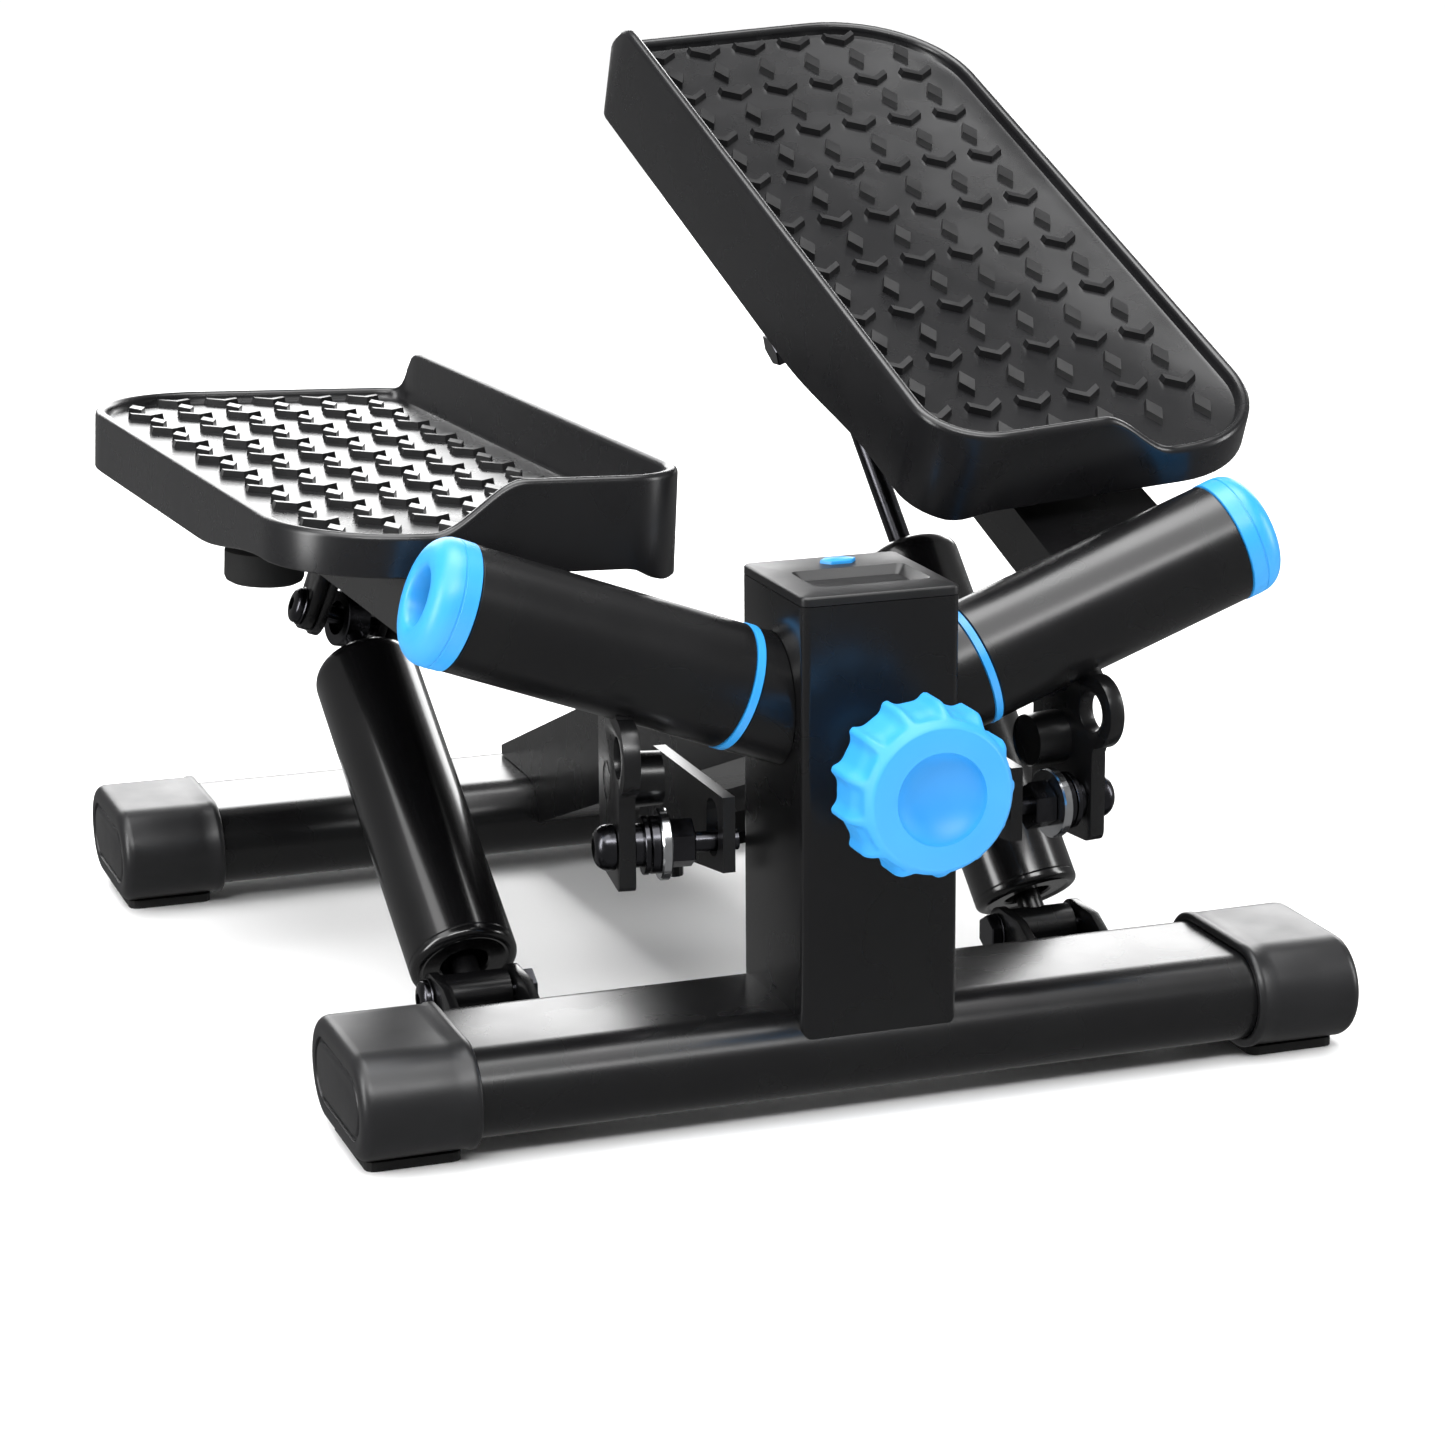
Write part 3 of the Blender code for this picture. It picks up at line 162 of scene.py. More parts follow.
bars = {}
for end in ("front", "rear"):
    low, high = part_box(end + "_crossbar")
    mid_y, mid_z = (low.y + high.y) / 2, (low.z + high.z) / 2
    bars[end] = (low.x, high.x, mid_y, mid_z)
    stations = (low.x, low.x + BAR_END, high.x - BAR_END, high.x)
    piece(end + "_bar", skin([oval(BAR_RADIUS, x, mid_y, mid_z) for x in stations]),
          powder_coat, "base", "black_steel", end + "_crossbar")

# The stepper's middle plane and the front bar's axis: everything is placed from here.
post_low, post_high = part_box("tower_post")
HOME = Matrix.Translation(((post_low.x + post_high.x) / 2, bars["front"][2], 0))
joints = {joint["name"]: joint for joint in frame["joints"]}
swing_joint = joints["left_pedal_swing"]
HUB = HOME.inverted() @ Vector(swing_joint["pos_m"])
RISE = math.asin(-swing_joint["axis"][2])
SWING = math.radians(swing_joint["range_deg"][1])
HUB_FRAME = Matrix.Translation(HUB) @ Matrix.Rotation(-RISE, 4, "Y")
RAISED = HUB_FRAME @ Matrix.Rotation(SWING, 4, "X") @ HUB_FRAME.inverted()
MIRROR = Matrix.Scale(-1, 4, (1, 0, 0))
SIDES = ("left", "right")


def put(bm, side, local=None, swings=False):
    """Move a shape drawn for the right side, pedal down, to its side and pose."""
    where = HOME @ (MIRROR if side == "left" else RAISED if swings else Matrix.Identity(4))
    bmesh.ops.transform(bm, matrix=where @ (local or Matrix.Identity(4)), verts=bm.verts)
    return bm


# ---- end caps --------------------------------------------------------------------
# Moulded polypropylene caps pushed over the bars' ends, with a rolled lip at the
# mouth, a soft front edge and an oval groove round the end face.  Satin, faintly
# textured by the mould.
CAP_LENGTH = 0.0467
CAP_RADIUS = 0.0215
CAP_EDGE = 0.0050
GROOVE_RADIUS = 0.0130
GROOVE_DEEP = 0.0012

moulded = finish("moulded black polypropylene", "111112", "18181a", 25, (0.34, 0.42), 0.9,
                 0.020)


def cap_loops(tip, mid_y, mid_z, way):
    """Stations of a cap from inside its mouth, round the edge and through the groove."""
    mouth = tip - way * CAP_LENGTH
    inner = BAR_RADIUS + GAP
    rows = [(inner, tip - way * BAR_END), (inner, mouth + way * 0.0004),
            (inner + 0.0006, mouth), (CAP_RADIUS - 0.0004, mouth),
            (CAP_RADIUS + 0.0003, mouth + way * 0.0006),
            (CAP_RADIUS + 0.0003, mouth + way * 0.0030),
            (CAP_RADIUS - 0.0003, mouth + way * 0.0042),
            (CAP_RADIUS - 0.0002, mouth + way * 0.0100)]
    for i in range(9):
        turn = math.radians(90 * i / 8)
        rows.append((CAP_RADIUS - CAP_EDGE + CAP_EDGE * math.cos(turn),
                     tip - way * (CAP_EDGE - CAP_EDGE * math.sin(turn))))
    rows += [(GROOVE_RADIUS + 0.0010, tip), (GROOVE_RADIUS + 0.0003, tip - way * 0.0002),
             (GROOVE_RADIUS, tip - way * GROOVE_DEEP),
             (GROOVE_RADIUS - 0.0016, tip - way * GROOVE_DEEP),
             (GROOVE_RADIUS - 0.0022, tip - way * 0.0003),
             (GROOVE_RADIUS - 0.0030, tip - way * 0.0001)]
    return [oval(radius, x, mid_y, mid_z) for radius, x in rows]


for end in ("front", "rear"):
    _, _, mid_y, mid_z = bars[end]
    for side in SIDES:
        node = "end_cap_%s_%s" % (end, side)
        low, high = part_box(node)
        tip, way = (low.x, -1) if side == "left" else (high.x, 1)
        piece("cap_%s_%s" % (end, side), skin(cap_loops(tip, mid_y, mid_z, way)), moulded,
              "base", "black_plastic", node, sharp=50)

# ---- foot pads -------------------------------------------------------------------
# Thin rubber pads glued under the caps to stop the stepper sliding.  They are cut from
# sheet, so their faces are dull and grainy.
pad_rubber = finish("black rubber", "0e0e0e", "161616", 12, (0.72, 0.85), 0.8, 0.05)
for end in ("front", "rear"):
    for side in SIDES:
        frame["nodes"]["foot_pad_%s_%s" % (end, side)].material_slots[0].material = pad_rubber

# ---- post ------------------------------------------------------------------------
# Square steel tube welded over the front bar: the same powder coat, with small rolled
# corners that carry a thin line of light.  Its foot is coped to the bar's round face.
POST_CORNER = 0.0035


def rounded(x0, x1, y0, y1, radius, steps=8):
    """A rectangle's outline with rounded corners, anticlockwise."""
    loop = []
    for x, y, start in ((x0 + radius, y0 + radius, 180), (x1 - radius, y0 + radius, 270),
                        (x1 - radius, y1 - radius, 0), (x0 + radius, y1 - radius, 90)):
        for i in range(steps + 1):
            turn = math.radians(start + 90 * i / steps)
            loop.append((x + radius * math.cos(turn), y + radius * math.sin(turn)))
    return loop


def lift(outline, z):
    """An outline raised to one height."""
    return [(x, y, z) for x, y in outline]


def coping(x, y):
    """Height of the bar's surface under a point of the post's outline."""
    across = abs(y - bars["front"][2]) - BAR_FLAT / 2
    if across <= 0:
        return bars["front"][3] + BAR_RADIUS
    return bars["front"][3] + math.sqrt(max(BAR_RADIUS ** 2 - across ** 2, 0))


post_outline = rounded(post_low.x, post_high.x, post_low.y, post_high.y, POST_CORNER)
post_foot = [(x, y, coping(x, y) + GAP) for x, y in post_outline]
piece("post", skin([post_foot, lift(post_outline, post_high.z)]), powder_coat, "base",
      "black_steel", "tower_post", sharp=60)

# ---- spine beam ------------------------------------------------------------------
# Rectangular steel tube from the back of the post down to the rear bar, with rolled
# corners like the post's.
SPINE_EDGE = 0.0024
spine_low, spine_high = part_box("spine_beam")
SPINE_SLOPE = math.radians(21.1)
SPINE_DEEP = 0.0490
SADDLE_R = BAR_RADIUS + 0.0004      # the beam's coped end over the rear bar


def prism(outline, start, end, bevel=0.0, steps=3):
    """Extrude a (y, z) outline along X, with bevelled edges."""
    bm = skin([[(x, y, z) for y, z in outline] for x in (start, end)])
    if bevel:
        edges = [e for e in bm.edges if e.calc_face_angle(0) > math.radians(25)]
        bmesh.ops.bevel(bm, geom=edges, offset=bevel, segments=steps, profile=0.5,
                        affect="EDGES", clamp_overlap=True)
    return bm


def spine_outline():
    """The beam from the side, coped round the front and top of the rear bar."""
    rear_y, rear_z = bars["rear"][2], bars["rear"][3]
    front = spine_low.y
    drop = math.tan(SPINE_SLOPE)
    top = spine_high.z
    under = top - SPINE_DEEP / math.cos(SPINE_SLOPE)
    points = [(front, under)]
    for i in range(9):
        turn = math.radians(180 - 90 * i / 8)
        y = rear_y - BAR_FLAT / 2 + SADDLE_R * math.cos(turn)
        z = rear_z + SADDLE_R * math.sin(turn)
        if z > under - drop * (y - front):
            points.append((y, z))
    points += [(rear_y + BAR_FLAT / 2, rear_z + SADDLE_R),
               (rear_y + BAR_FLAT / 2, top - drop * (rear_y + BAR_FLAT / 2 - front)),
               (front, top)]
    return points


piece("spine", prism(spine_outline(), spine_low.x, spine_high.x, SPINE_EDGE),
      powder_coat, "base", "black_steel", "spine_beam")

# ---- console ---------------------------------------------------------------------
# The post's ABS lid, pushed into the tube's mouth: a plate with a soft edge and a deep
# dark frame round the display.  Its fine mould texture softens the light on it.
lid_low, lid_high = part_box("console_housing")
LID_FOOT = post_high.z + GAP
WINDOW_LOW, WINDOW_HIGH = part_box("display_window")
FRAME_MARGIN = 0.0012
FRAME_INSET = 0.0022
FRAME_DEEP = 0.0034
GLASS_CORNER = 0.0016
LID_EDGE = 0.0012

abs_plastic = finish("black ABS", "101011", "161617", 20, (0.36, 0.44), 0.6, 0.012)


def lid():
    """The lid's plate, with its soft edge and the sloping frame of the display."""
    outline = rounded(lid_low.x, lid_high.x, lid_low.y, lid_high.y, POST_CORNER)
    rows = []
    for i in range(5):
        turn = math.radians(90 * i / 4)
        inset = LID_EDGE * (1 - math.cos(turn))
        rows.append(lift(rounded(lid_low.x + inset, lid_high.x - inset, lid_low.y + inset,
                                 lid_high.y - inset, POST_CORNER - inset),
                         lid_high.z - LID_EDGE + LID_EDGE * math.sin(turn)))
    hole = rounded(WINDOW_LOW.x - FRAME_MARGIN, WINDOW_HIGH.x + FRAME_MARGIN,
                   WINDOW_LOW.y - FRAME_MARGIN, WINDOW_HIGH.y + FRAME_MARGIN, 0.0030)
    deep = rounded(WINDOW_LOW.x + FRAME_INSET, WINDOW_HIGH.x - FRAME_INSET,
                   WINDOW_LOW.y + FRAME_INSET, WINDOW_HIGH.y - FRAME_INSET, GLASS_CORNER)
    return skin([lift(outline, LID_FOOT)] + rows
                + [lift(hole, lid_high.z), lift(deep, lid_high.z - FRAME_DEEP),
                   lift(deep, LID_FOOT + 0.0001)])


piece("console_lid", lid(), abs_plastic, "base", "black_plastic", "console_housing")

# ---- display ---------------------------------------------------------------------
# A liquid-crystal counter set in the lid's frame: a grey-green polariser under a clear
# moulded window, so it looks flat and grey with a sharp gloss over it.
GLASS_INSET = 0.0016
lcd = finish("liquid crystal panel", "5c6463", "666e6c", 8, (0.10, 0.14), 3.0, 0.001,
             coat=1.0, coat_rough=0.03)
glass = rounded(WINDOW_LOW.x + GLASS_INSET, WINDOW_HIGH.x - GLASS_INSET,
                WINDOW_LOW.y + GLASS_INSET, WINDOW_HIGH.y - GLASS_INSET, GLASS_CORNER)
piece("display", skin([lift(glass, lid_high.z - 0.0046), lift(glass, lid_high.z - 0.0036)]),
      lcd, "base", "display_window", "display_window")

# ---- reset button ----------------------------------------------------------------
# Blue ABS key, a stretched hexagon with a soft edge, standing a little proud of the
# lid.  Moulded in colour, with a light sheen.
sky_blue = finish("sky blue ABS", "2589ce", "3094d7", 30, (0.34, 0.42), 0.55, 0.020)
key_low, key_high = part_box("reset_button")


def key():
    """The key's hexagon from its foot to its softened top."""
    mid_x, mid_y = (key_low.x + key_high.x) / 2, (key_low.y + key_high.y) / 2
    half_x, half_y = (key_high.x - key_low.x) / 2, (key_high.y - key_low.y) / 2
    rows = []
    for inset, z in ((0.0, key_low.z), (0.0, key_high.z - 0.0006),
                     (0.0002, key_high.z - 0.0002), (0.0006, key_high.z)):
        x, y = half_x - inset, half_y - inset
        nose = half_y * 0.8
        rows.append([(mid_x + a, mid_y + b, z) for a, b in
                     ((-x, 0), (-x + nose, -y), (x - nose, -y), (x, 0), (x - nose, y),
                      (-x + nose, y))])
    return skin(rows)


piece("reset_key", key(), sky_blue, "reset_button", "blue_plastic", "reset_button")

# ---- hub axles -------------------------------------------------------------------
# Each hub starts as a steel collar welded to the post at a slant, powder coated with
# it.  The axle inside is hidden by the collar and the turning tube.
HUB_R = 0.0247
HUB_FACETS = 96
COLLAR_END = 0.0506
RING_START = COLLAR_END + GAP
RING_END = 0.0544
TUBE_START = RING_END + GAP
TUBE_END = 0.1692
AXLE_R = 0.0080


def circle(x, radius, facets):
    """A ring of points about the X axis."""
    turns = [2 * math.pi * i / facets for i in range(facets)]
    return [(x, radius * math.cos(turn), radius * math.sin(turn)) for turn in turns]


def lathe(profile, facets=HUB_FACETS, closed=False):
    """Revolve (station, radius) points about the X axis."""
    return skin([circle(x, r, facets) for x, r in profile], closed)


def collar():
    """The collar starts flat on the post's side, so its inner end is slanted."""
    half = (post_high.x - post_low.x) / 2 + GAP
    start, end = [], []
    for i in range(HUB_FACETS):
        turn = 2 * math.pi * i / HUB_FACETS
        y, z = HUB_R * math.cos(turn), HUB_R * math.sin(turn)
        t = (half + z * math.sin(RISE)) / math.cos(RISE)
        start.append((t, y, z))
        end.append((COLLAR_END, y, z))
    shoulder = [(COLLAR_END, y * 0.5, z * 0.5) for _, y, z in end]
    return skin([start, end, shoulder])


for side in SIDES:
    piece("hub_collar_" + side, put(collar(), side, HUB_FRAME), powder_coat, "base",
          "black_steel", "hub_axle_" + side)

# ---- hub rings -------------------------------------------------------------------
# Blue ABS rings that fill the joint between each collar and its turning tube.  They
# are the same moulding colour as the reset key.
for side in SIDES:
    profile = [(RING_START, AXLE_R), (RING_START, HUB_R - 0.0003),
               (RING_START + 0.0003, HUB_R + 0.0004), (RING_END - 0.0003, HUB_R + 0.0004),
               (RING_END, HUB_R - 0.0003), (RING_END, AXLE_R)]
    piece("ring_" + side, put(lathe(profile, closed=True), side, HUB_FRAME), sky_blue, "base",
          "blue_plastic", "hub_ring_" + side)

# ---- hub tubes -------------------------------------------------------------------
# The tubes that turn on the axles and carry the pedals.  Drawn steel, powder coated
# like the frame, with their cut ends just broken.
TUBE_WALL = 0.0030
for side in SIDES:
    profile = [(TUBE_START, HUB_R - TUBE_WALL), (TUBE_START, HUB_R - 0.0004),
               (TUBE_START + 0.0004, HUB_R), (TUBE_END - 0.0004, HUB_R),
               (TUBE_END, HUB_R - 0.0004), (TUBE_END, HUB_R - TUBE_WALL)]
    piece("tube_" + side, put(lathe(profile, closed=True), side, HUB_FRAME, True),
          powder_coat, side + "_pedal", "black_steel", "hub_tube_" + side)

# ---- hub caps --------------------------------------------------------------------
# Blue moulded end caps: a cylinder, a fine parting step and a rounded nose with a
# countersunk hole for the hub bolt.
CAP_HOLE = 0.0115
CAP_TIP = 0.1858
CAP_NOSE = 0.0090
PARTING = 0.1755


def hub_cap():
    """The cap from its back face, over the parting step and the nose, into the hole."""
    base = TUBE_END + GAP
    rows = [(base, CAP_HOLE), (base, HUB_R - 0.0002), (base + 0.0003, HUB_R + 0.0003),
            (PARTING, HUB_R + 0.0004), (PARTING + 0.0003, HUB_R), (PARTING + 0.0007, HUB_R),
            (PARTING + 0.0010, HUB_R + 0.0003)]
    for i in range(1, 13):
        turn = math.radians(90 * i / 12)
        rows.append((CAP_TIP - CAP_NOSE + CAP_NOSE * math.sin(turn),
                     HUB_R + 0.0003 - CAP_NOSE * (1 - math.cos(turn))))
    rows += [(CAP_TIP, CAP_HOLE + 0.0022), (CAP_TIP - 0.0006, CAP_HOLE + 0.0009),
             (CAP_TIP - 0.0022, CAP_HOLE)]
    return lathe(rows, closed=True)


for side in SIDES:
    piece("hub_nose_" + side, put(hub_cap(), side, HUB_FRAME, True), sky_blue,
          side + "_pedal", "blue_plastic", "hub_cap_" + side, sharp=40)

# ---- hub bolts -------------------------------------------------------------------
# Socket button heads with a washer, at the bottom of each cap's hole.  Black oxide is
# a thin dark skin that still glints like steel; zinc plate is pale and near mirror.
HUB_WASHER_R = 0.0105
HUB_WASHER = 0.0030
HUB_HEAD_R = 0.0086
HUB_HEAD_HIGH = 0.0065
HEX_SOCKET = 0.0034
black_oxide = finish("black oxide steel", "3a3a3d", "4c4c50", 6, (0.20, 0.28), 0.7, 0.003,
                     metallic=1.0)
zinc = finish("bright zinc plate", "c6c8cb", "dcdee0", 5, (0.14, 0.22), 0.8, 0.003,
              metallic=1.0)


def button_head(start, radius, height, socket, facets=48):
    """A button head with a hexagon socket, along X from its bearing face."""
    dome = math.radians(80)
    side_high = height * 0.30
    top = start + height
    rows = [(start, 0.0005), (start, radius - 0.0003), (start + 0.0003, radius),
            (start + side_high, radius)]
    for i in range(1, 9):
        turn = dome * i / 8
        rise = math.sin(turn) / math.sin(dome)
        draw_in = (1 - math.cos(turn)) / (1 - math.cos(dome))
        rows.append((start + side_high + (height - side_high) * rise,
                     radius - (radius - socket * 1.25) * draw_in))
    loops = [circle(x, r, facets) for x, r in rows]

    def hexagon(x, size):
        loop = []
        for i in range(facets):
            turn = 2 * math.pi * i / facets
            flat = (turn + math.pi / 6) % (math.pi / 3) - math.pi / 6
            r = size / math.cos(flat)
            loop.append((x, r * math.cos(turn), r * math.sin(turn)))
        return loop

    return skin(loops + [hexagon(top, socket), hexagon(top - height * 0.55, socket * 0.96)])


def merged(*shapes):
    """Several closed shapes in one mesh."""
    whole = bmesh.new()
    for shape in shapes:
        spare = bpy.data.meshes.new("spare")
        shape.to_mesh(spare)
        shape.free()
        whole.from_mesh(spare)
        bpy.data.meshes.remove(spare)
    return whole


for side in SIDES:
    seat = TUBE_END + 0.0001
    face = seat + HUB_WASHER
    washer = lathe([(seat, 0.0040), (seat, HUB_WASHER_R - 0.0003), (seat + 0.0003, HUB_WASHER_R),
                    (face - 0.0003, HUB_WASHER_R), (face, HUB_WASHER_R - 0.0003),
                    (face, 0.0040)], 64, True)
    bolt = merged(washer, button_head(face, HUB_HEAD_R, HUB_HEAD_HIGH, HEX_SOCKET))
    piece("hub_screw_" + side, put(bolt, side, HUB_FRAME), black_oxide, "base", "zinc_steel",
          "hub_bolt_" + side)

# ---- knob ------------------------------------------------------------------------
# The hand knob that sets the step's height: thick blue ABS, sparked to a fine matte,
# with a round dish in its face and finger scallops that run out before the face.
KNOB_SCALLOPS = 13
KNOB_FACE_R = 0.0275
KNOB_MAX_R = 0.0345
KNOB_BACK = 0.0290
KNOB_CUT = 0.0032
KNOB_BOSS = 0.0400
KNOB_DISH_R = 0.0180
KNOB_DISH_DEEP = 0.0100
knob_low, knob_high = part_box("knob")
knob_mid = Vector(((knob_low.x + knob_high.x) / 2, knob_low.y, (knob_low.z + knob_high.z) / 2))
knob_blue = finish("matte sky blue ABS", "2589ce", "3094d7", 30, (0.46, 0.54), 0.45, 0.04)


def knob_side(back):
    """Radius of the knob's side, without scallops, at a depth behind its face."""
    t = min(back / 0.0160, 1.0)
    return KNOB_FACE_R + (KNOB_MAX_R - KNOB_FACE_R) * math.sin(t * math.pi / 2)


def knob_body():
    """Rings from the middle of the dish, over the face and back to the boss."""
    facets = KNOB_SCALLOPS * 24
    rows = []

    def ring(radius, back, cut):
        """One ring; cut is how deep its scallops are."""
        loop = []
        for i in range(facets):
            turn = 2 * math.pi * i / facets
            t = max((abs(math.sin(KNOB_SCALLOPS * turn / 2)) - 0.20) / 0.80, 0.0)
            r = radius - cut * t * (2 - t)
            loop.append((r * math.cos(turn), back, r * math.sin(turn)))
        return loop

    for i in range(13):
        turn = math.radians(90 * i / 12)
        rows.append(ring(max(KNOB_DISH_R * math.sin(turn), 0.0004),
                         KNOB_DISH_DEEP * math.cos(turn) ** 1.2, 0))
    rows += [ring(KNOB_DISH_R + 0.0007, 0.0, 0),
             ring(KNOB_FACE_R - 0.0006, 0.0, 0), ring(KNOB_FACE_R, 0.0002, 0)]
    for i in range(1, 25):
        back = 0.0275 * i / 24
        deep = min(max((back - 0.0035) / 0.0075, 0.0), 1.0)
        rows.append(ring(knob_side(back), back, KNOB_CUT * math.sin(deep * math.pi / 2)))
    rows += [ring(KNOB_MAX_R - 0.0006, KNOB_BACK - 0.0005, KNOB_CUT),
             ring(KNOB_MAX_R - 0.0020, KNOB_BACK, KNOB_CUT - 0.0002),
             ring(0.0150, KNOB_BACK, 0), ring(0.0140, KNOB_BACK + 0.0004, 0),
             ring(0.0125, KNOB_BOSS, 0), ring(0.0064, KNOB_BOSS, 0)]
    bm = skin(rows)
    bmesh.ops.transform(bm, matrix=Matrix.Translation(knob_mid), verts=bm.verts)
    return bm


piece("hand_knob", knob_body(), knob_blue, "adjuster_knob", "blue_plastic", "knob", sharp=40)

# ---- knob spindle ----------------------------------------------------------------
# Zinc-plated steel screw from the knob through the post's front into its nut.  The
# thread is the coarse one for its 12 mm size.
THREAD_PITCH = 0.00175
THREAD_DEEP = 0.0009
shaft_low, shaft_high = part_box("knob_spindle")
shaft_r = (shaft_high.x - shaft_low.x) / 2
shaft_rows = []
for i in range(int((shaft_high.y - shaft_low.y) / THREAD_PITCH) - 1):
    y = shaft_low.y + 0.001 + THREAD_PITCH * i
    root = shaft_r - THREAD_DEEP
    shaft_rows += [(y, shaft_r), (y + THREAD_PITCH * 0.3, shaft_r),
                   (y + THREAD_PITCH * 0.55, root), (y + THREAD_PITCH * 0.75, root)]
shaft_rows = [(shaft_low.y, shaft_r - 0.0010)] + shaft_rows + [(shaft_high.y, shaft_r - 0.0010)]
spindle = skin([[(knob_mid.x + r * math.cos(math.radians(7.5 * i)), y,
                  knob_mid.z + r * math.sin(math.radians(7.5 * i))) for i in range(48)]
                for y, r in shaft_rows])
piece("spindle", spindle, zinc, "adjuster_knob", "zinc_steel", "knob_spindle")

# ---- pedal trays -----------------------------------------------------------------
# Moulded foot trays: a flat floor, a low rolled rim, a high wall along the inner side
# and round the toe that drops to the rim in an S, and a hollow skirt underneath.
# Polished mould faces leave the tray satin; its studs are a little duller.
PEDAL_FRAME = (Matrix.Translation((0.0941, 0.3771, 0.2225))
               @ Matrix.Rotation(math.radians(-3.75), 4, "Z")
               @ Matrix.Rotation(math.radians(-3.0), 4, "Y"))
TRAY = (-0.0250, 0.1390, -0.3400, 0.0180)       # inner, outer, front, rear
TRAY_CORNERS = (0.0300, 0.0480, 0.0600, 0.0160)  # front in, front out, rear out, rear in
TRAY_WALL = 0.0050
RIM_LOW, RIM_HIGH = 0.0050, 0.0250
tray_plastic = finish("satin black polypropylene", "0e0e0f", "141416", 30, (0.24, 0.31), 0.9,
                      0.014)
tread_plastic = finish("matte tread polypropylene", "121213", "19191a", 14, (0.28, 0.36), 0.7,
                       0.020)


def ease(value, start, end):
    """From 0 at start to 1 at end, with level ends."""
    t = min(max((value - start) / (end - start), 0.0), 1.0)
    return t * t * (3 - 2 * t)


def rim_height(x, y):
    """Height of the lip over the floor at a point of the edge."""
    inner = ease(x, TRAY[0] + 0.030, TRAY[0] + 0.010) * ease(y, 0.0160, -0.0080)
    toe = ease(y, TRAY[2] + 0.060, TRAY[2] + 0.030) * ease(x, 0.0850, 0.0480)
    return RIM_LOW + (RIM_HIGH - RIM_LOW) * max(inner, toe)


def skirt_height(x, y):
    """Height of the skirt's lower edge, which rises under the toe."""
    under_wall = 0.0060 * ease(x, TRAY[0] + 0.030, TRAY[0] + 0.010)
    return -0.0210 + 0.0090 * ease(y, -0.2000, -0.2900) - under_wall


def tray_plan(inset):
    """Evenly spaced points round the tray, inset from its outer edge."""
    x0, x1, y0, y1 = TRAY
    spots = ((x0, y0, 1, 1, 180), (x1, y0, -1, 1, 270), (x1, y1, -1, -1, 0), (x0, y1, 1, -1, 90))
    counts = (44, 60, 30, 60)
    corners = []
    for (x, y, sx, sy, start), size in zip(spots, TRAY_CORNERS):
        radius = max(size - inset, 0.0005)
        mid = (x + sx * size, y + sy * size)
        corners.append([(mid[0] + radius * math.cos(math.radians(start + 90 * i / 14)),
                         mid[1] + radius * math.sin(math.radians(start + 90 * i / 14)))
                        for i in range(15)])
    loop = []
    for k in range(4):
        loop += corners[k]
        (ax, ay), (bx, by) = corners[k][-1], corners[(k + 1) % 4][0]
        steps = counts[k]
        loop += [(ax + (bx - ax) * i / steps, ay + (by - ay) * i / steps)
                 for i in range(1, steps)]
    return loop


def tray():
    """Bridge the skirt's inside, the outer wall, the rolled lip and the floor."""
    edge = tray_plan(0.0)
    high = [rim_height(x, y) for x, y in edge]
    deep = [skirt_height(x, y) for x, y in edge]
    lip = TRAY_WALL / 2

    def row(inset, heights):
        return [(x, y, z) for (x, y), z in zip(tray_plan(inset), heights)]

    rows = [row(TRAY_WALL - 0.001, [-0.0035] * len(edge)), row(TRAY_WALL - 0.001, deep),
            row(0.0006, deep), row(0.0, [z + 0.0006 for z in deep])]
    for i in range(9):
        turn = math.radians(180 * i / 8)
        rows.append(row(lip - lip * math.cos(turn), [z - lip + lip * math.sin(turn)
                                                     for z in high]))
    rows += [row(TRAY_WALL + 0.0002, [0.0016] * len(edge)),
             row(TRAY_WALL + 0.0008, [0.0004] * len(edge)),
             row(TRAY_WALL + 0.0022, [0.0] * len(edge))]
    return skin(rows)


for side in SIDES:
    piece("tray_" + side, put(tray(), side, PEDAL_FRAME, True), tray_plastic, side + "_pedal",
          "black_plastic", "pedal_tray_" + side, sharp=40)

# ---- tread -----------------------------------------------------------------------
# Raised studs moulded in one with the floor: rows of chevrons, each with a diamond in
# front of it, so that three arms meet at every point of an oblong lattice.
STUD_HIGH = 0.0029
STUD_DRAFT = 0.90           # size of a stud's top against its foot
ROW_PITCH = 0.03683
COLUMN_PITCH = 0.022835
CHEVRON = ((0, 0), (0.0079, -0.0057), (0.0079, -0.0095), (0, -0.0038), (-0.0079, -0.0095),
           (-0.0079, -0.0057))
DIAMOND = ((0, 0.0053), (0.0040, 0.0136), (0, 0.0219), (-0.0040, 0.0136))


def stud(name, outline):
    """One stud with drafted sides; its outline's second number runs to the toe."""
    mid_x = sum(x for x, y in outline) / len(outline)
    mid_y = sum(y for x, y in outline) / len(outline)
    base = [(x, -y, -0.0002) for x, y in outline]
    top = [(mid_x + (x - mid_x) * STUD_DRAFT, -(mid_y + (y - mid_y) * STUD_DRAFT), STUD_HIGH)
           for x, y in outline]
    bm = skin([base, top])
    mesh = bpy.data.meshes.new(name)
    bmesh.ops.recalc_face_normals(bm, faces=bm.faces)
    bm.to_mesh(mesh)
    bm.free()
    return bpy.data.objects.new(name, mesh)


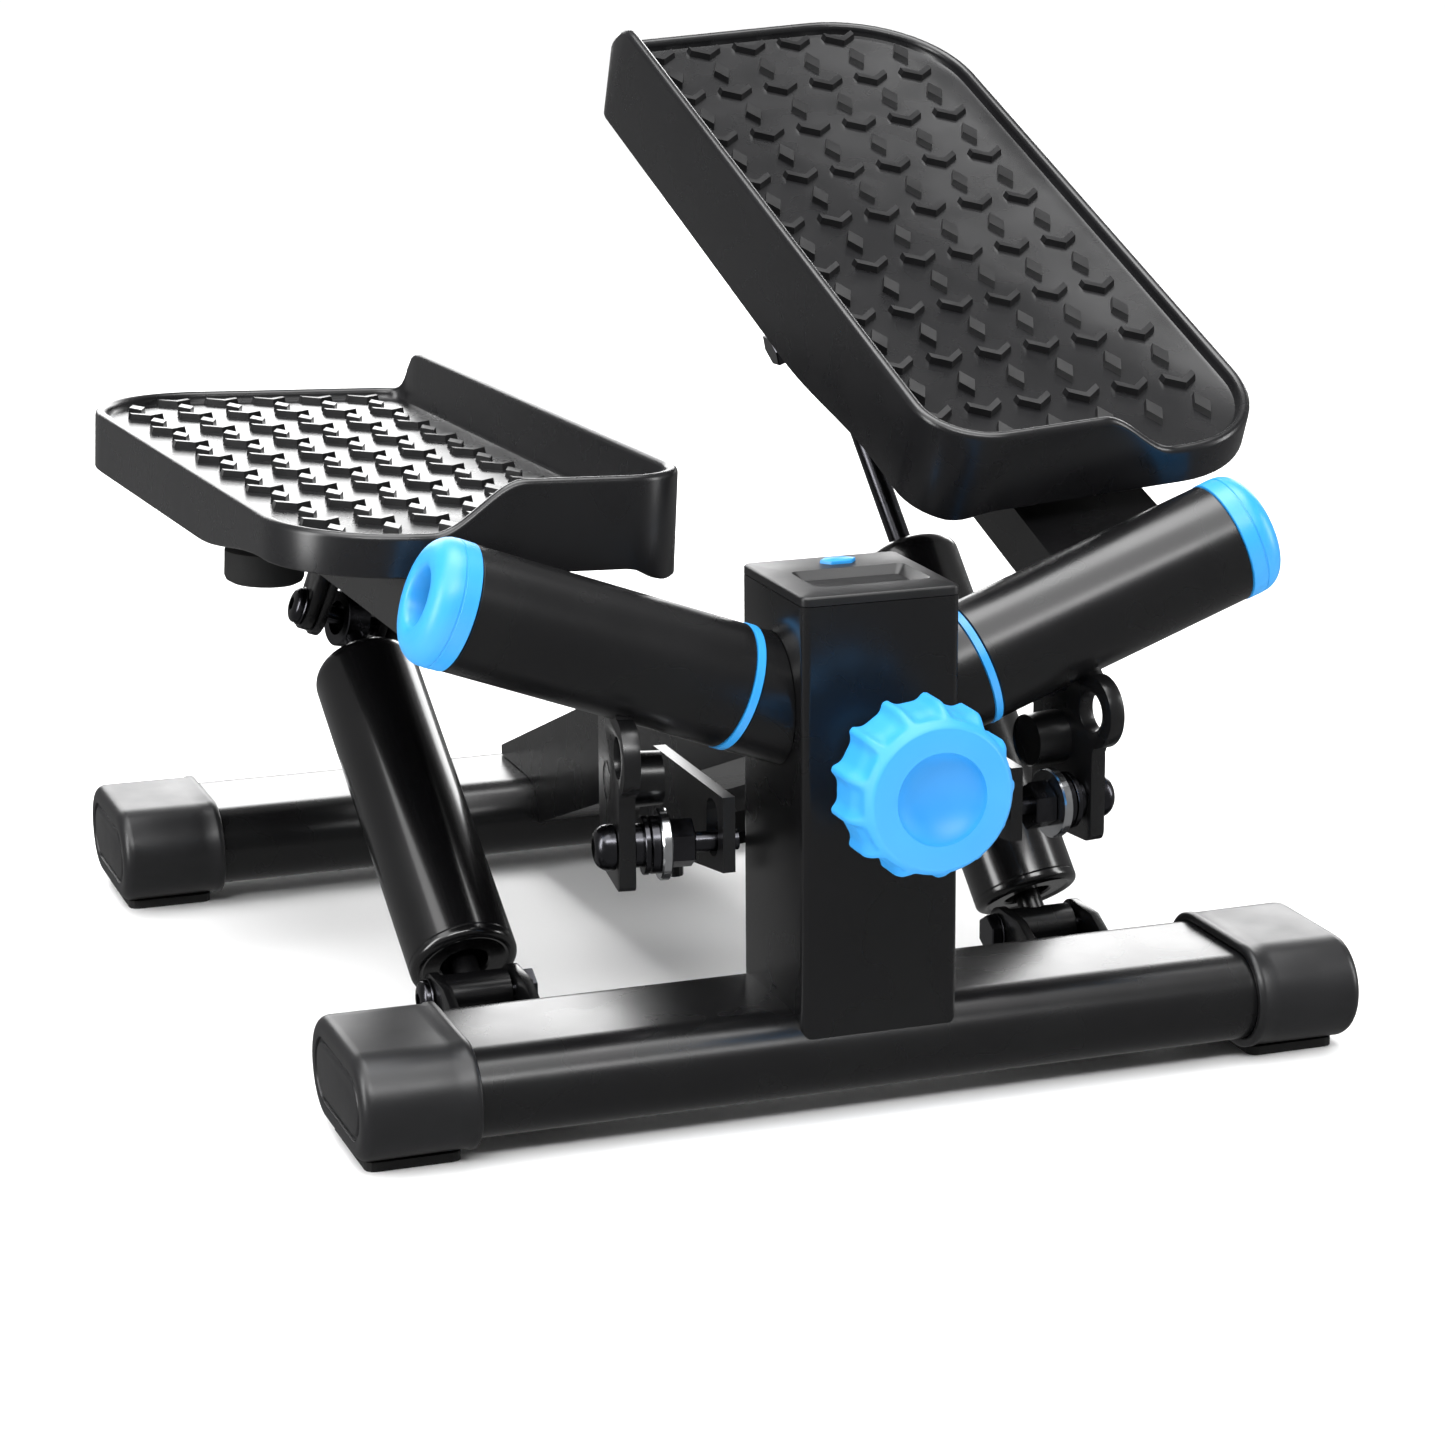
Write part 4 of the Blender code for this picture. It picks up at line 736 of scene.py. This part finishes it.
def stud_grid():
    """Copies one stud over a lattice, leaving out the place whose number is Skipped."""
    tree = bpy.data.node_groups.new("stud lattice", "GeometryNodeTree")
    face = tree.interface
    for name, kind in (("Stud", "Object"), ("Finish", "Material")):
        face.new_socket(name, in_out="INPUT", socket_type="NodeSocket" + kind)
    for name in ("Rows", "Columns", "Skipped"):
        face.new_socket(name, in_out="INPUT", socket_type="NodeSocketInt")
    for name in ("Row pitch", "Column pitch"):
        face.new_socket(name, in_out="INPUT", socket_type="NodeSocketFloat")
    face.new_socket("Geometry", in_out="OUTPUT", socket_type="NodeSocketGeometry")
    given = add_node(tree, "NodeGroupInput").outputs
    length = {}
    for name, count, pitch in (("X", "Columns", "Column pitch"), ("Y", "Rows", "Row pitch")):
        less = add_node(tree, "ShaderNodeMath", {0: given[count], 1: 1.0}, operation="SUBTRACT")
        length[name] = add_node(tree, "ShaderNodeMath", {0: less.outputs[0], 1: given[pitch]},
                                operation="MULTIPLY").outputs[0]
    grid = add_node(tree, "GeometryNodeMeshGrid",
                    {"Size X": length["X"], "Size Y": length["Y"],
                     "Vertices X": given["Columns"], "Vertices Y": given["Rows"]})
    index = add_node(tree, "GeometryNodeInputIndex").outputs[0]
    skipped = add_node(tree, "FunctionNodeCompare", {2: index, 3: given["Skipped"]},
                       data_type="INT", operation="EQUAL")
    kept = add_node(tree, "FunctionNodeBooleanMath", {0: skipped.outputs[0]}, operation="NOT")
    shape = add_node(tree, "GeometryNodeObjectInfo", {"Object": given["Stud"]})
    copies = add_node(tree, "GeometryNodeInstanceOnPoints",
                      {"Points": grid.outputs["Mesh"], "Selection": kept.outputs[0],
                       "Instance": shape.outputs["Geometry"]})
    real = add_node(tree, "GeometryNodeRealizeInstances",
                    {"Geometry": copies.outputs["Instances"]})
    painted = add_node(tree, "GeometryNodeSetMaterial",
                       {"Geometry": real.outputs["Geometry"], "Material": given["Finish"]})
    add_node(tree, "NodeGroupOutput", {"Geometry": painted.outputs["Geometry"]})
    return tree


def grown(name, tree, inputs):
    """Run a node tree with its named inputs and keep the result as a plain mesh."""
    holder = bpy.data.objects.new(name, bpy.data.meshes.new(name))
    bpy.context.scene.collection.objects.link(holder)
    step = holder.modifiers.new("grow", "NODES")
    step.node_group = tree
    for item in tree.interface.items_tree:
        if item.in_out == "INPUT" and item.name in inputs:
            step[item.identifier] = inputs[item.name]
    shapes = bpy.context.evaluated_depsgraph_get()
    mesh = bpy.data.meshes.new_from_object(holder.evaluated_get(shapes))
    bpy.data.objects.remove(holder)
    bm = bmesh.new()
    bm.from_mesh(mesh)
    bpy.data.meshes.remove(mesh)
    return bm


lattice = stud_grid()
chevron, diamond = stud("chevron", CHEVRON), stud("diamond", DIAMOND)
ROWS, COLUMNS = 9, 6
lattice_mid = Matrix.Translation(((COLUMNS - 1) * COLUMN_PITCH / 2,
                                  -(ROWS - 1) * ROW_PITCH / 2, 0))
settings = {"Finish": tread_plastic, "Rows": ROWS, "Columns": COLUMNS,
            "Row pitch": ROW_PITCH, "Column pitch": COLUMN_PITCH}
last_place = COLUMNS * ROWS - 1
for side in SIDES:
    tread = merged(grown("chevrons", lattice,
                         {**settings, "Stud": chevron, "Skipped": last_place}),
                   grown("diamonds", lattice, {**settings, "Stud": diamond, "Skipped": -1}))
    piece("tread_" + side, put(tread, side, PEDAL_FRAME @ lattice_mid, True), tread_plastic,
          side + "_pedal", "black_plastic")

# ---- pedal arms ------------------------------------------------------------------
# Box-section steel arms welded behind the hub tubes and screwed up into the trays,
# powder coated with the tubes.
for side in SIDES:
    frame["nodes"]["pedal_arm_" + side].material_slots[0].material = powder_coat

# ---- pedal bumpers ---------------------------------------------------------------
# Moulded rubber buffers under the trays' outer sides that meet the floor if a pedal
# overruns.  Dull, like the foot pads.
BUMPER_R = 0.0165
BUMPER_LOW = -0.0390
BUMPER_AT = (0.1120, -0.2070, 0)
for side in SIDES:
    rows = [(BUMPER_LOW, 0.0060), (BUMPER_LOW, BUMPER_R - 0.0030),
            (BUMPER_LOW + 0.0012, BUMPER_R - 0.0008), (BUMPER_LOW + 0.0030, BUMPER_R),
            (BUMPER_LOW + 0.0135, BUMPER_R), (BUMPER_LOW + 0.0145, BUMPER_R - 0.0020),
            (BUMPER_LOW + 0.0150, BUMPER_R - 0.0030), (-0.0040, BUMPER_R - 0.0030)]
    local = (PEDAL_FRAME @ Matrix.Translation(BUMPER_AT)
             @ Matrix.Rotation(math.radians(-90), 4, "Y"))
    piece("bumper_" + side, put(lathe(rows, 64), side, local, True), pad_rubber,
          side + "_pedal", "black_rubber", "pedal_bumper_" + side)

# ---- damper heads ----------------------------------------------------------------
# U-shaped steel brackets welded under the arms, powder coated.  Each ear is a wide
# plate and a narrow one beside it, with the damper's eye between the two ears.
DAMPER_HEAD = (0.0434, -0.1089, -0.0786)
HEAD_FRAME = (Matrix.Translation(PEDAL_FRAME @ Vector(DAMPER_HEAD))
              @ Matrix.Rotation(-RISE, 4, "Y"))
HEAD_EARS = ((0.0120, 0.0158, 0.0110, 0.0140),      # start, end, end radius, half width
             (0.0166, 0.0212, 0.0098, 0.0105))
HEAD_TOP = 0.0300
HEAD_HOLE = 0.0044


def plate(outline, holes, start, end, bevel=0.0004):
    """A flat plate across X from a (y, z) outline with round holes (y, z, radius)."""
    bm = bmesh.new()
    edges = []
    loops = [outline] + [[(y + r * math.cos(math.pi * i / 20), z + r * math.sin(math.pi * i / 20))
                          for i in range(40)] for y, z, r in holes]
    for loop in loops:
        verts = [bm.verts.new((start, y, z)) for y, z in loop]
        edges += [bm.edges.new((verts[i - 1], verts[i])) for i in range(len(verts))]
    bmesh.ops.triangle_fill(bm, edges=edges, use_dissolve=True)
    raised = bmesh.ops.extrude_face_region(bm, geom=bm.faces[:])["geom"]
    tops = [item for item in raised if isinstance(item, bmesh.types.BMVert)]
    bmesh.ops.translate(bm, verts=tops, vec=(end - start, 0, 0))
    bmesh.ops.recalc_face_normals(bm, faces=bm.faces)
    rims = [e for e in bm.edges if len(e.link_faces) == 2 and e.calc_face_angle(0) > 1.2]
    if bevel:
        bmesh.ops.bevel(bm, geom=rims, offset=bevel, segments=2, profile=0.5, affect="EDGES",
                        clamp_overlap=True)
    return bm


def ear_outline(radius, half, top, steps=24):
    """A plate with a round end about the origin and square shoulders at the top."""
    loop = [(-radius * math.cos(math.pi * i / steps), -radius * math.sin(math.pi * i / steps))
            for i in range(steps + 1)]
    return loop + [(half, top), (-half, top)]


for side in SIDES:
    shapes = []
    for way in (-1, 1):
        for start, end, radius, half in HEAD_EARS:
            low, high = sorted((way * start, way * end))
            shapes.append(plate(ear_outline(radius, half, HEAD_TOP), [(0, 0, HEAD_HOLE)],
                                low, high))
    shapes.append(prism([(-0.0145, 0.0180), (0.0145, 0.0180), (0.0145, HEAD_TOP),
                         (-0.0145, HEAD_TOP)], -0.0212, 0.0212, 0.0006))
    piece("head_bracket_" + side, put(merged(*shapes), side, HEAD_FRAME, True), powder_coat,
          side + "_pedal", "black_steel", "damper_head_" + side)

# ---- damper head bolts -----------------------------------------------------------
# Button-head screws that hold the dampers' eyes, each with plain washers and a nut.
# Black oxide, like the hub bolts.


def hexagon_bar(start, end, across):
    """A hexagonal nut along X, with its corners chamfered at both ends."""
    corner = across / math.sqrt(3)
    rows = []
    for x, size in ((start, across * 0.54), (start + 0.0005, corner), (end - 0.0005, corner),
                    (end, across * 0.54)):
        rows.append([(x, size * math.cos(math.pi * (i + 0.5) / 3),
                      size * math.sin(math.pi * (i + 0.5) / 3)) for i in range(6)])
    return skin(rows)


def round_bar(start, end, radius, soft=0.0003, facets=48):
    """A turned bar, washer or spacer along X with broken edges."""
    return lathe([(start, radius * 0.3), (start, radius - soft), (start + soft, radius),
                  (end - soft, radius), (end, radius - soft), (end, radius * 0.3)], facets)


def cross_bolt(half, head_r, head_high, shank, across):
    """A button-head bolt through a bracket of one half width, with washers and a nut."""
    return merged(round_bar(-half - 0.0055, half, shank),
                  round_bar(half, half + 0.0010, head_r + 0.0006),
                  button_head(half + 0.0010, head_r, head_high - 0.0010, head_r * 0.36),
                  round_bar(-half - 0.0010, -half, head_r),
                  hexagon_bar(-half - 0.0058, -half - 0.0010, across))


for side in SIDES:
    bolt = cross_bolt(0.0218, 0.0080, 0.0050, 0.0040, 0.0140)
    piece("head_bolt_" + side, put(bolt, side, HEAD_FRAME, True), black_oxide,
          side + "_pedal", "zinc_steel", "damper_head_bolt_" + side)

# ---- damper feet -----------------------------------------------------------------
# Folded steel clevises welded behind the front bar, powder coated.  Their ears reach
# forward to the bar on both sides of the damper's lower eye.
DAMPER_FOOT = (0.1273, 0.0954, 0.0234)
FOOT_FRAME = Matrix.Translation(DAMPER_FOOT)
for side in SIDES:
    shapes = []
    for way in (-1, 1):
        low, high = sorted((way * 0.0150, way * 0.0190))
        turn = [math.pi * i / 16 for i in range(17)]
        outline = [(0.0110 * math.cos(a), 0.0110 * math.sin(a)) for a in turn[:9]]
        outline += [(-0.0200, 0.0106), (-0.0464, -0.0020), (-0.0464, -0.0124),
                    (0.0110, -0.0124)]
        shapes.append(plate(outline, [(0, 0, 0.0054)], low, high))
    shapes.append(prism([(-0.0600, -0.0140), (0.0114, -0.0140), (0.0114, -0.0106),
                         (-0.0600, -0.0106)], -0.0190, 0.0190, 0.0005))
    piece("foot_clevis_" + side, put(merged(*shapes), side, FOOT_FRAME), powder_coat, "base",
          "black_steel", "damper_foot_" + side)
    bolt = cross_bolt(0.0193, 0.0084, 0.0050, 0.0050, 0.0148)
    piece("foot_bolt_" + side, put(bolt, side, FOOT_FRAME), black_oxide, "base", "zinc_steel",
          "damper_foot_bolt_" + side)

# ---- dampers ---------------------------------------------------------------------
# Hydraulic cylinders of drawn steel in gloss black paint, which draws a clear streak
# of light down each.  A rolled-in bottom disc, a rounded shoulder, a dark steel rod
# and an eye at either end.
gloss_black = finish("gloss black paint", "070708", "0b0b0c", 60, (0.20, 0.26), 4.0, 0.006,
                     coat=0.35, coat_rough=0.10)
DAMPER_R = 0.0230
DAMPER_LOW, DAMPER_TOP = 0.0145, 0.1830


def aimed(point, along):
    """A frame at a point with its X axis along a direction."""
    turn = Vector((1, 0, 0)).rotation_difference(Vector(along)).to_matrix().to_4x4()
    return Matrix.Translation(point) @ turn


def cylinder_shape():
    """The cylinder from the middle of its bottom disc, up its side and into the rod's hole."""
    rows = [(DAMPER_LOW + 0.0110, 0.0005), (DAMPER_LOW + 0.0110, 0.0098),
            (DAMPER_LOW + 0.0016, 0.0102), (DAMPER_LOW + 0.0008, 0.0110),
            (DAMPER_LOW + 0.0008, DAMPER_R - 0.0050), (DAMPER_LOW + 0.0002, DAMPER_R - 0.0042)]
    for i in range(9):
        turn = math.radians(90 * i / 8)
        rows.append((DAMPER_LOW + 0.0032 - 0.0032 * math.cos(turn),
                     DAMPER_R - 0.0032 + 0.0032 * math.sin(turn)))
    rows += [(DAMPER_LOW + 0.0046, DAMPER_R), (DAMPER_LOW + 0.0050, DAMPER_R - 0.0003),
             (DAMPER_LOW + 0.0054, DAMPER_R)]
    for i in range(13):
        turn = math.radians(90 * i / 12)
        rows.append((DAMPER_TOP - 0.0085 + 0.0085 * math.sin(turn),
                     DAMPER_R - 0.0085 + 0.0085 * math.cos(turn)))
    rows += [(DAMPER_TOP, 0.0090), (DAMPER_TOP - 0.0006, 0.0086), (DAMPER_TOP - 0.0006, 0.0056),
             (DAMPER_TOP - 0.0040, 0.0054)]
    return lathe(rows, 128)


for side in SIDES:
    foot = Vector(joints[side + "_damper_pitch"]["pos_m"])
    along = Vector(joints[side + "_damper_stroke"]["axis"])
    tilted = aimed(foot, along)
    barrel = cylinder_shape()
    bmesh.ops.transform(barrel, matrix=tilted, verts=barrel.verts)
    piece("cylinder_" + side, barrel, gloss_black, side + "_damper_body", "gloss_black_steel",
          "damper_body_" + side)

    head = HOME @ (MIRROR if side == "left" else RAISED) @ HEAD_FRAME
    reach = (head.translation - foot).length
    rod = lathe([(0.1500, 0.0010), (0.1500, 0.0050), (reach - 0.0110, 0.0050),
                 (reach - 0.0110, 0.0010)], 48)
    bmesh.ops.transform(rod, matrix=tilted, verts=rod.verts)
    across = head.to_3x3() @ Vector((1, 0, 0))
    loop = lathe([(-0.0055, 0.0076), (-0.0055, 0.0120), (-0.0050, 0.0125), (0.0050, 0.0125),
                  (0.0055, 0.0120), (0.0055, 0.0076)], 64, True)
    across = (across - along * across.dot(along)).normalized()
    bmesh.ops.transform(loop, matrix=aimed(foot + along * reach, across), verts=loop.verts)
    piece("rod_" + side, merged(rod, loop), black_oxide, side + "_damper_rod", "zinc_steel",
          "damper_rod_" + side)

    eye = lathe([(-0.0140, 0.0054), (-0.0140, 0.0091), (-0.0136, 0.0095), (0.0136, 0.0095),
                 (0.0140, 0.0091), (0.0140, 0.0054)], 64, True)
    bmesh.ops.transform(eye, matrix=aimed(foot, (1, 0, 0)), verts=eye.verts)
    neck = lathe([(0.0060, 0.0030), (0.0060, 0.0054), (0.0205, 0.0054), (0.0215, 0.0046)], 48)
    bmesh.ops.transform(neck, matrix=tilted, verts=neck.verts)
    piece("lower_eye_" + side, merged(eye, neck), powder_coat, side + "_damper_eye",
          "black_steel", "damper_eye_" + side)

# ---- link brackets ---------------------------------------------------------------
# Laser-cut plates welded under the hub tubes: a lobe with a through hole in front, and
# a sleeve with a closed inner end behind it.  Powder coated.
BRACKET = (Matrix.Translation((0.0955, -0.0007, 0))
           @ Matrix.Rotation(math.radians(8.0), 4, "Z"))
PLATE_HALF = 0.00325
LOBE = (-0.0205, 0.1513, 0.0148)         # y, z, radius
SLEEVE = Matrix.Translation((0, 0.0036, 0.1360))
LOBE_HOLE = 0.0082


def bracket_outline():
    """The plate's edge: round bottom corners, and a lobe that swells from the front."""
    front, rear, low = -0.0220, 0.0220, 0.0977
    loop = []
    for mid, start, radius in (((rear - 0.004, low + 0.004), 0, 0.004),
                               ((front + 0.004, low + 0.004), -90, 0.004)):
        for i in range(7):
            turn = math.radians(start - 90 * i / 6)
            loop.append((mid[0] + radius * math.cos(turn), mid[1] + radius * math.sin(turn)))
    y, z, r = LOBE
    loop.append((front, z - r - 0.0020))
    loop.append((front - 0.0010, z - r + 0.0002))
    for i in range(1, 29):
        turn = math.radians(-100 - 175 * i / 28)
        loop.append((y + r * math.cos(turn), z + r * math.sin(turn)))
    loop += [(-0.0150, 0.1700), (0.0120, 0.1700), (0.0180, 0.1640), (rear, 0.1600)]
    return loop


for side in SIDES:
    flat = plate(bracket_outline(), [(LOBE[0], LOBE[1], LOBE_HOLE)], -PLATE_HALF, PLATE_HALF,
                 0.0006)
    sleeve = lathe([(-0.0170, 0.0005), (-0.0170, 0.0100), (-0.0177, 0.0106),
                    (-PLATE_HALF, 0.0110), (-PLATE_HALF, 0.0080)], 64)
    bmesh.ops.transform(sleeve, matrix=SLEEVE, verts=sleeve.verts)
    ring = lathe([(PLATE_HALF - 0.0010, 0.0073), (PLATE_HALF + 0.0002, 0.0074),
                  (PLATE_HALF + 0.0002, 0.0078), (PLATE_HALF - 0.0010, 0.0080)], 64, True)
    bmesh.ops.transform(ring, matrix=SLEEVE, verts=ring.verts)
    piece("hanger_" + side, put(merged(flat, sleeve, ring), side, BRACKET), powder_coat,
          side + "_pedal", "black_steel", "link_bracket_" + side, sharp=35)

# ---- link bolts ------------------------------------------------------------------
# Large black-oxide button heads; inside the plate come a spacer, a spring washer, a
# bright zinc washer, a hexagon nut and the plain end that drives the link.
LINK_BOLT = Matrix.Translation((0, -0.0117, 0.1137))
for side in SIDES:
    local = BRACKET @ LINK_BOLT
    inner = -PLATE_HALF - GAP
    dark = [round_bar(inner - 0.0040, inner, 0.0085),
            round_bar(inner - 0.0058, inner - 0.0036, 0.0115),
            round_bar(inner - 0.0098, inner - 0.0064, 0.0113),
            round_bar(-0.0452, PLATE_HALF, 0.0040),
            hexagon_bar(inner - 0.0236, inner - 0.0140, 0.0168),
            button_head(-inner, 0.0090, 0.0080, 0.0034)]
    piece("link_bolt_parts_" + side, put(merged(*dark), side, local), black_oxide,
          side + "_pedal", "zinc_steel", "link_bolt_" + side)
    bright = lathe([(inner - 0.0138, 0.0042), (inner - 0.0138, 0.0134), (inner - 0.0132, 0.0140),
                    (inner - 0.0104, 0.0140), (inner - 0.0098, 0.0134), (inner - 0.0098, 0.0042)],
                   96, True)
    piece("link_washer_" + side, put(bright, side, local), zinc, side + "_pedal", "zinc_steel")

# ---- links, rocker and small steel -----------------------------------------------
# Pressed steel links and the flat rocker hidden behind the post, powder coated; the
# rocker's pin and the spindle's nut are zinc plated, the hub bushes black nylon.
for name in ("link_left", "link_right", "rocker"):
    frame["nodes"][name].material_slots[0].material = powder_coat
for name in ("rocker_pin", "spindle_nut"):
    frame["nodes"][name].material_slots[0].material = zinc
for side in SIDES:
    for bush in ("inner", "outer"):
        frame["nodes"]["hub_bush_%s_%s" % (bush, side)].material_slots[0].material = moulded

# ---- floor, light and camera -----------------------------------------------------
# A white seamless floor that no gloss reflects, a high soft sun that keeps it white,
# and softboxes whose long edges draw the highlights, as in a product studio.
floor_mesh = bpy.data.meshes.new("floor")
floor_mesh.from_pydata([(-9, -9, 0), (9, -9, 0), (9, 9, 0), (-9, 9, 0)], [], [(0, 1, 2, 3)])
floor = bpy.data.objects.new("floor", floor_mesh)
bpy.context.scene.collection.objects.link(floor)
floor_mesh.materials.append(
    finish("studio floor", "f4f4f4", "f6f6f6", 900, (0.6, 0.6), 400, 0.0))
floor.visible_glossy = False

world = bpy.data.worlds.new("studio")
bpy.context.scene.world = world
world.use_nodes = True
world.node_tree.nodes["Background"].inputs["Color"].default_value = linear("ffffff")
world.node_tree.nodes["Background"].inputs["Strength"].default_value = 0.22


def softbox(name, where, target, size, watts):
    """A rectangular light that faces its target."""
    light = bpy.data.lights.new(name, "AREA")
    light.shape = "RECTANGLE"
    light.size, light.size_y = size
    light.energy = watts
    lamp = bpy.data.objects.new(name, light)
    lamp.location = where
    lamp.rotation_euler = (Vector(target) - Vector(where)).to_track_quat("-Z", "Y").to_euler()
    bpy.context.scene.collection.objects.link(lamp)


sun = bpy.data.lights.new("high sun", "SUN")
sun.energy = 3.4
sun.angle = math.radians(70)
sun_lamp = bpy.data.objects.new("high sun", sun)
sun_lamp.rotation_euler = (math.radians(12), math.radians(-14), 0)
bpy.context.scene.collection.objects.link(sun_lamp)
softbox("overhead", (0.1, 0.2, 1.8), (0, 0, 0.1), (1.5, 0.9), 24)
softbox("back wall", (1.0, 2.6, 1.0), (0, 0, 0.15), (3.6, 1.1), 74)
softbox("left strip", (-1.7, -0.2, 0.7), (0, 0, 0.15), (0.5, 1.2), 20)
softbox("right strip", (1.6, -0.6, 0.6), (0, 0, 0.15), (0.35, 1.0), 10)
softbox("front bar", (-0.3, -1.7, 1.7), (0, 0, 0.15), (2.2, 0.35), 30)

LENS_MM = 95.72
CAMERA_AT = HOME @ Vector((-0.5342, -1.3598, 0.5330))
CAMERA_YAW = 0.3409         # towards +X from straight back
CAMERA_PITCH = 0.2558       # downwards
CAMERA_ROLL = -0.0068
view = bpy.data.objects.new("camera", bpy.data.cameras.new("camera"))
view.data.lens = LENS_MM
view.data.sensor_width = 36.0
view.data.clip_end = 30
view.matrix_world = (Matrix.Translation(CAMERA_AT) @ Matrix.Rotation(-CAMERA_YAW, 4, "Z")
                     @ Matrix.Rotation(math.pi / 2 - CAMERA_PITCH, 4, "X")
                     @ Matrix.Rotation(CAMERA_ROLL, 4, "Z"))
bpy.context.scene.collection.objects.link(view)
bpy.context.scene.camera = view
bpy.context.scene.view_settings.view_transform = "Standard"
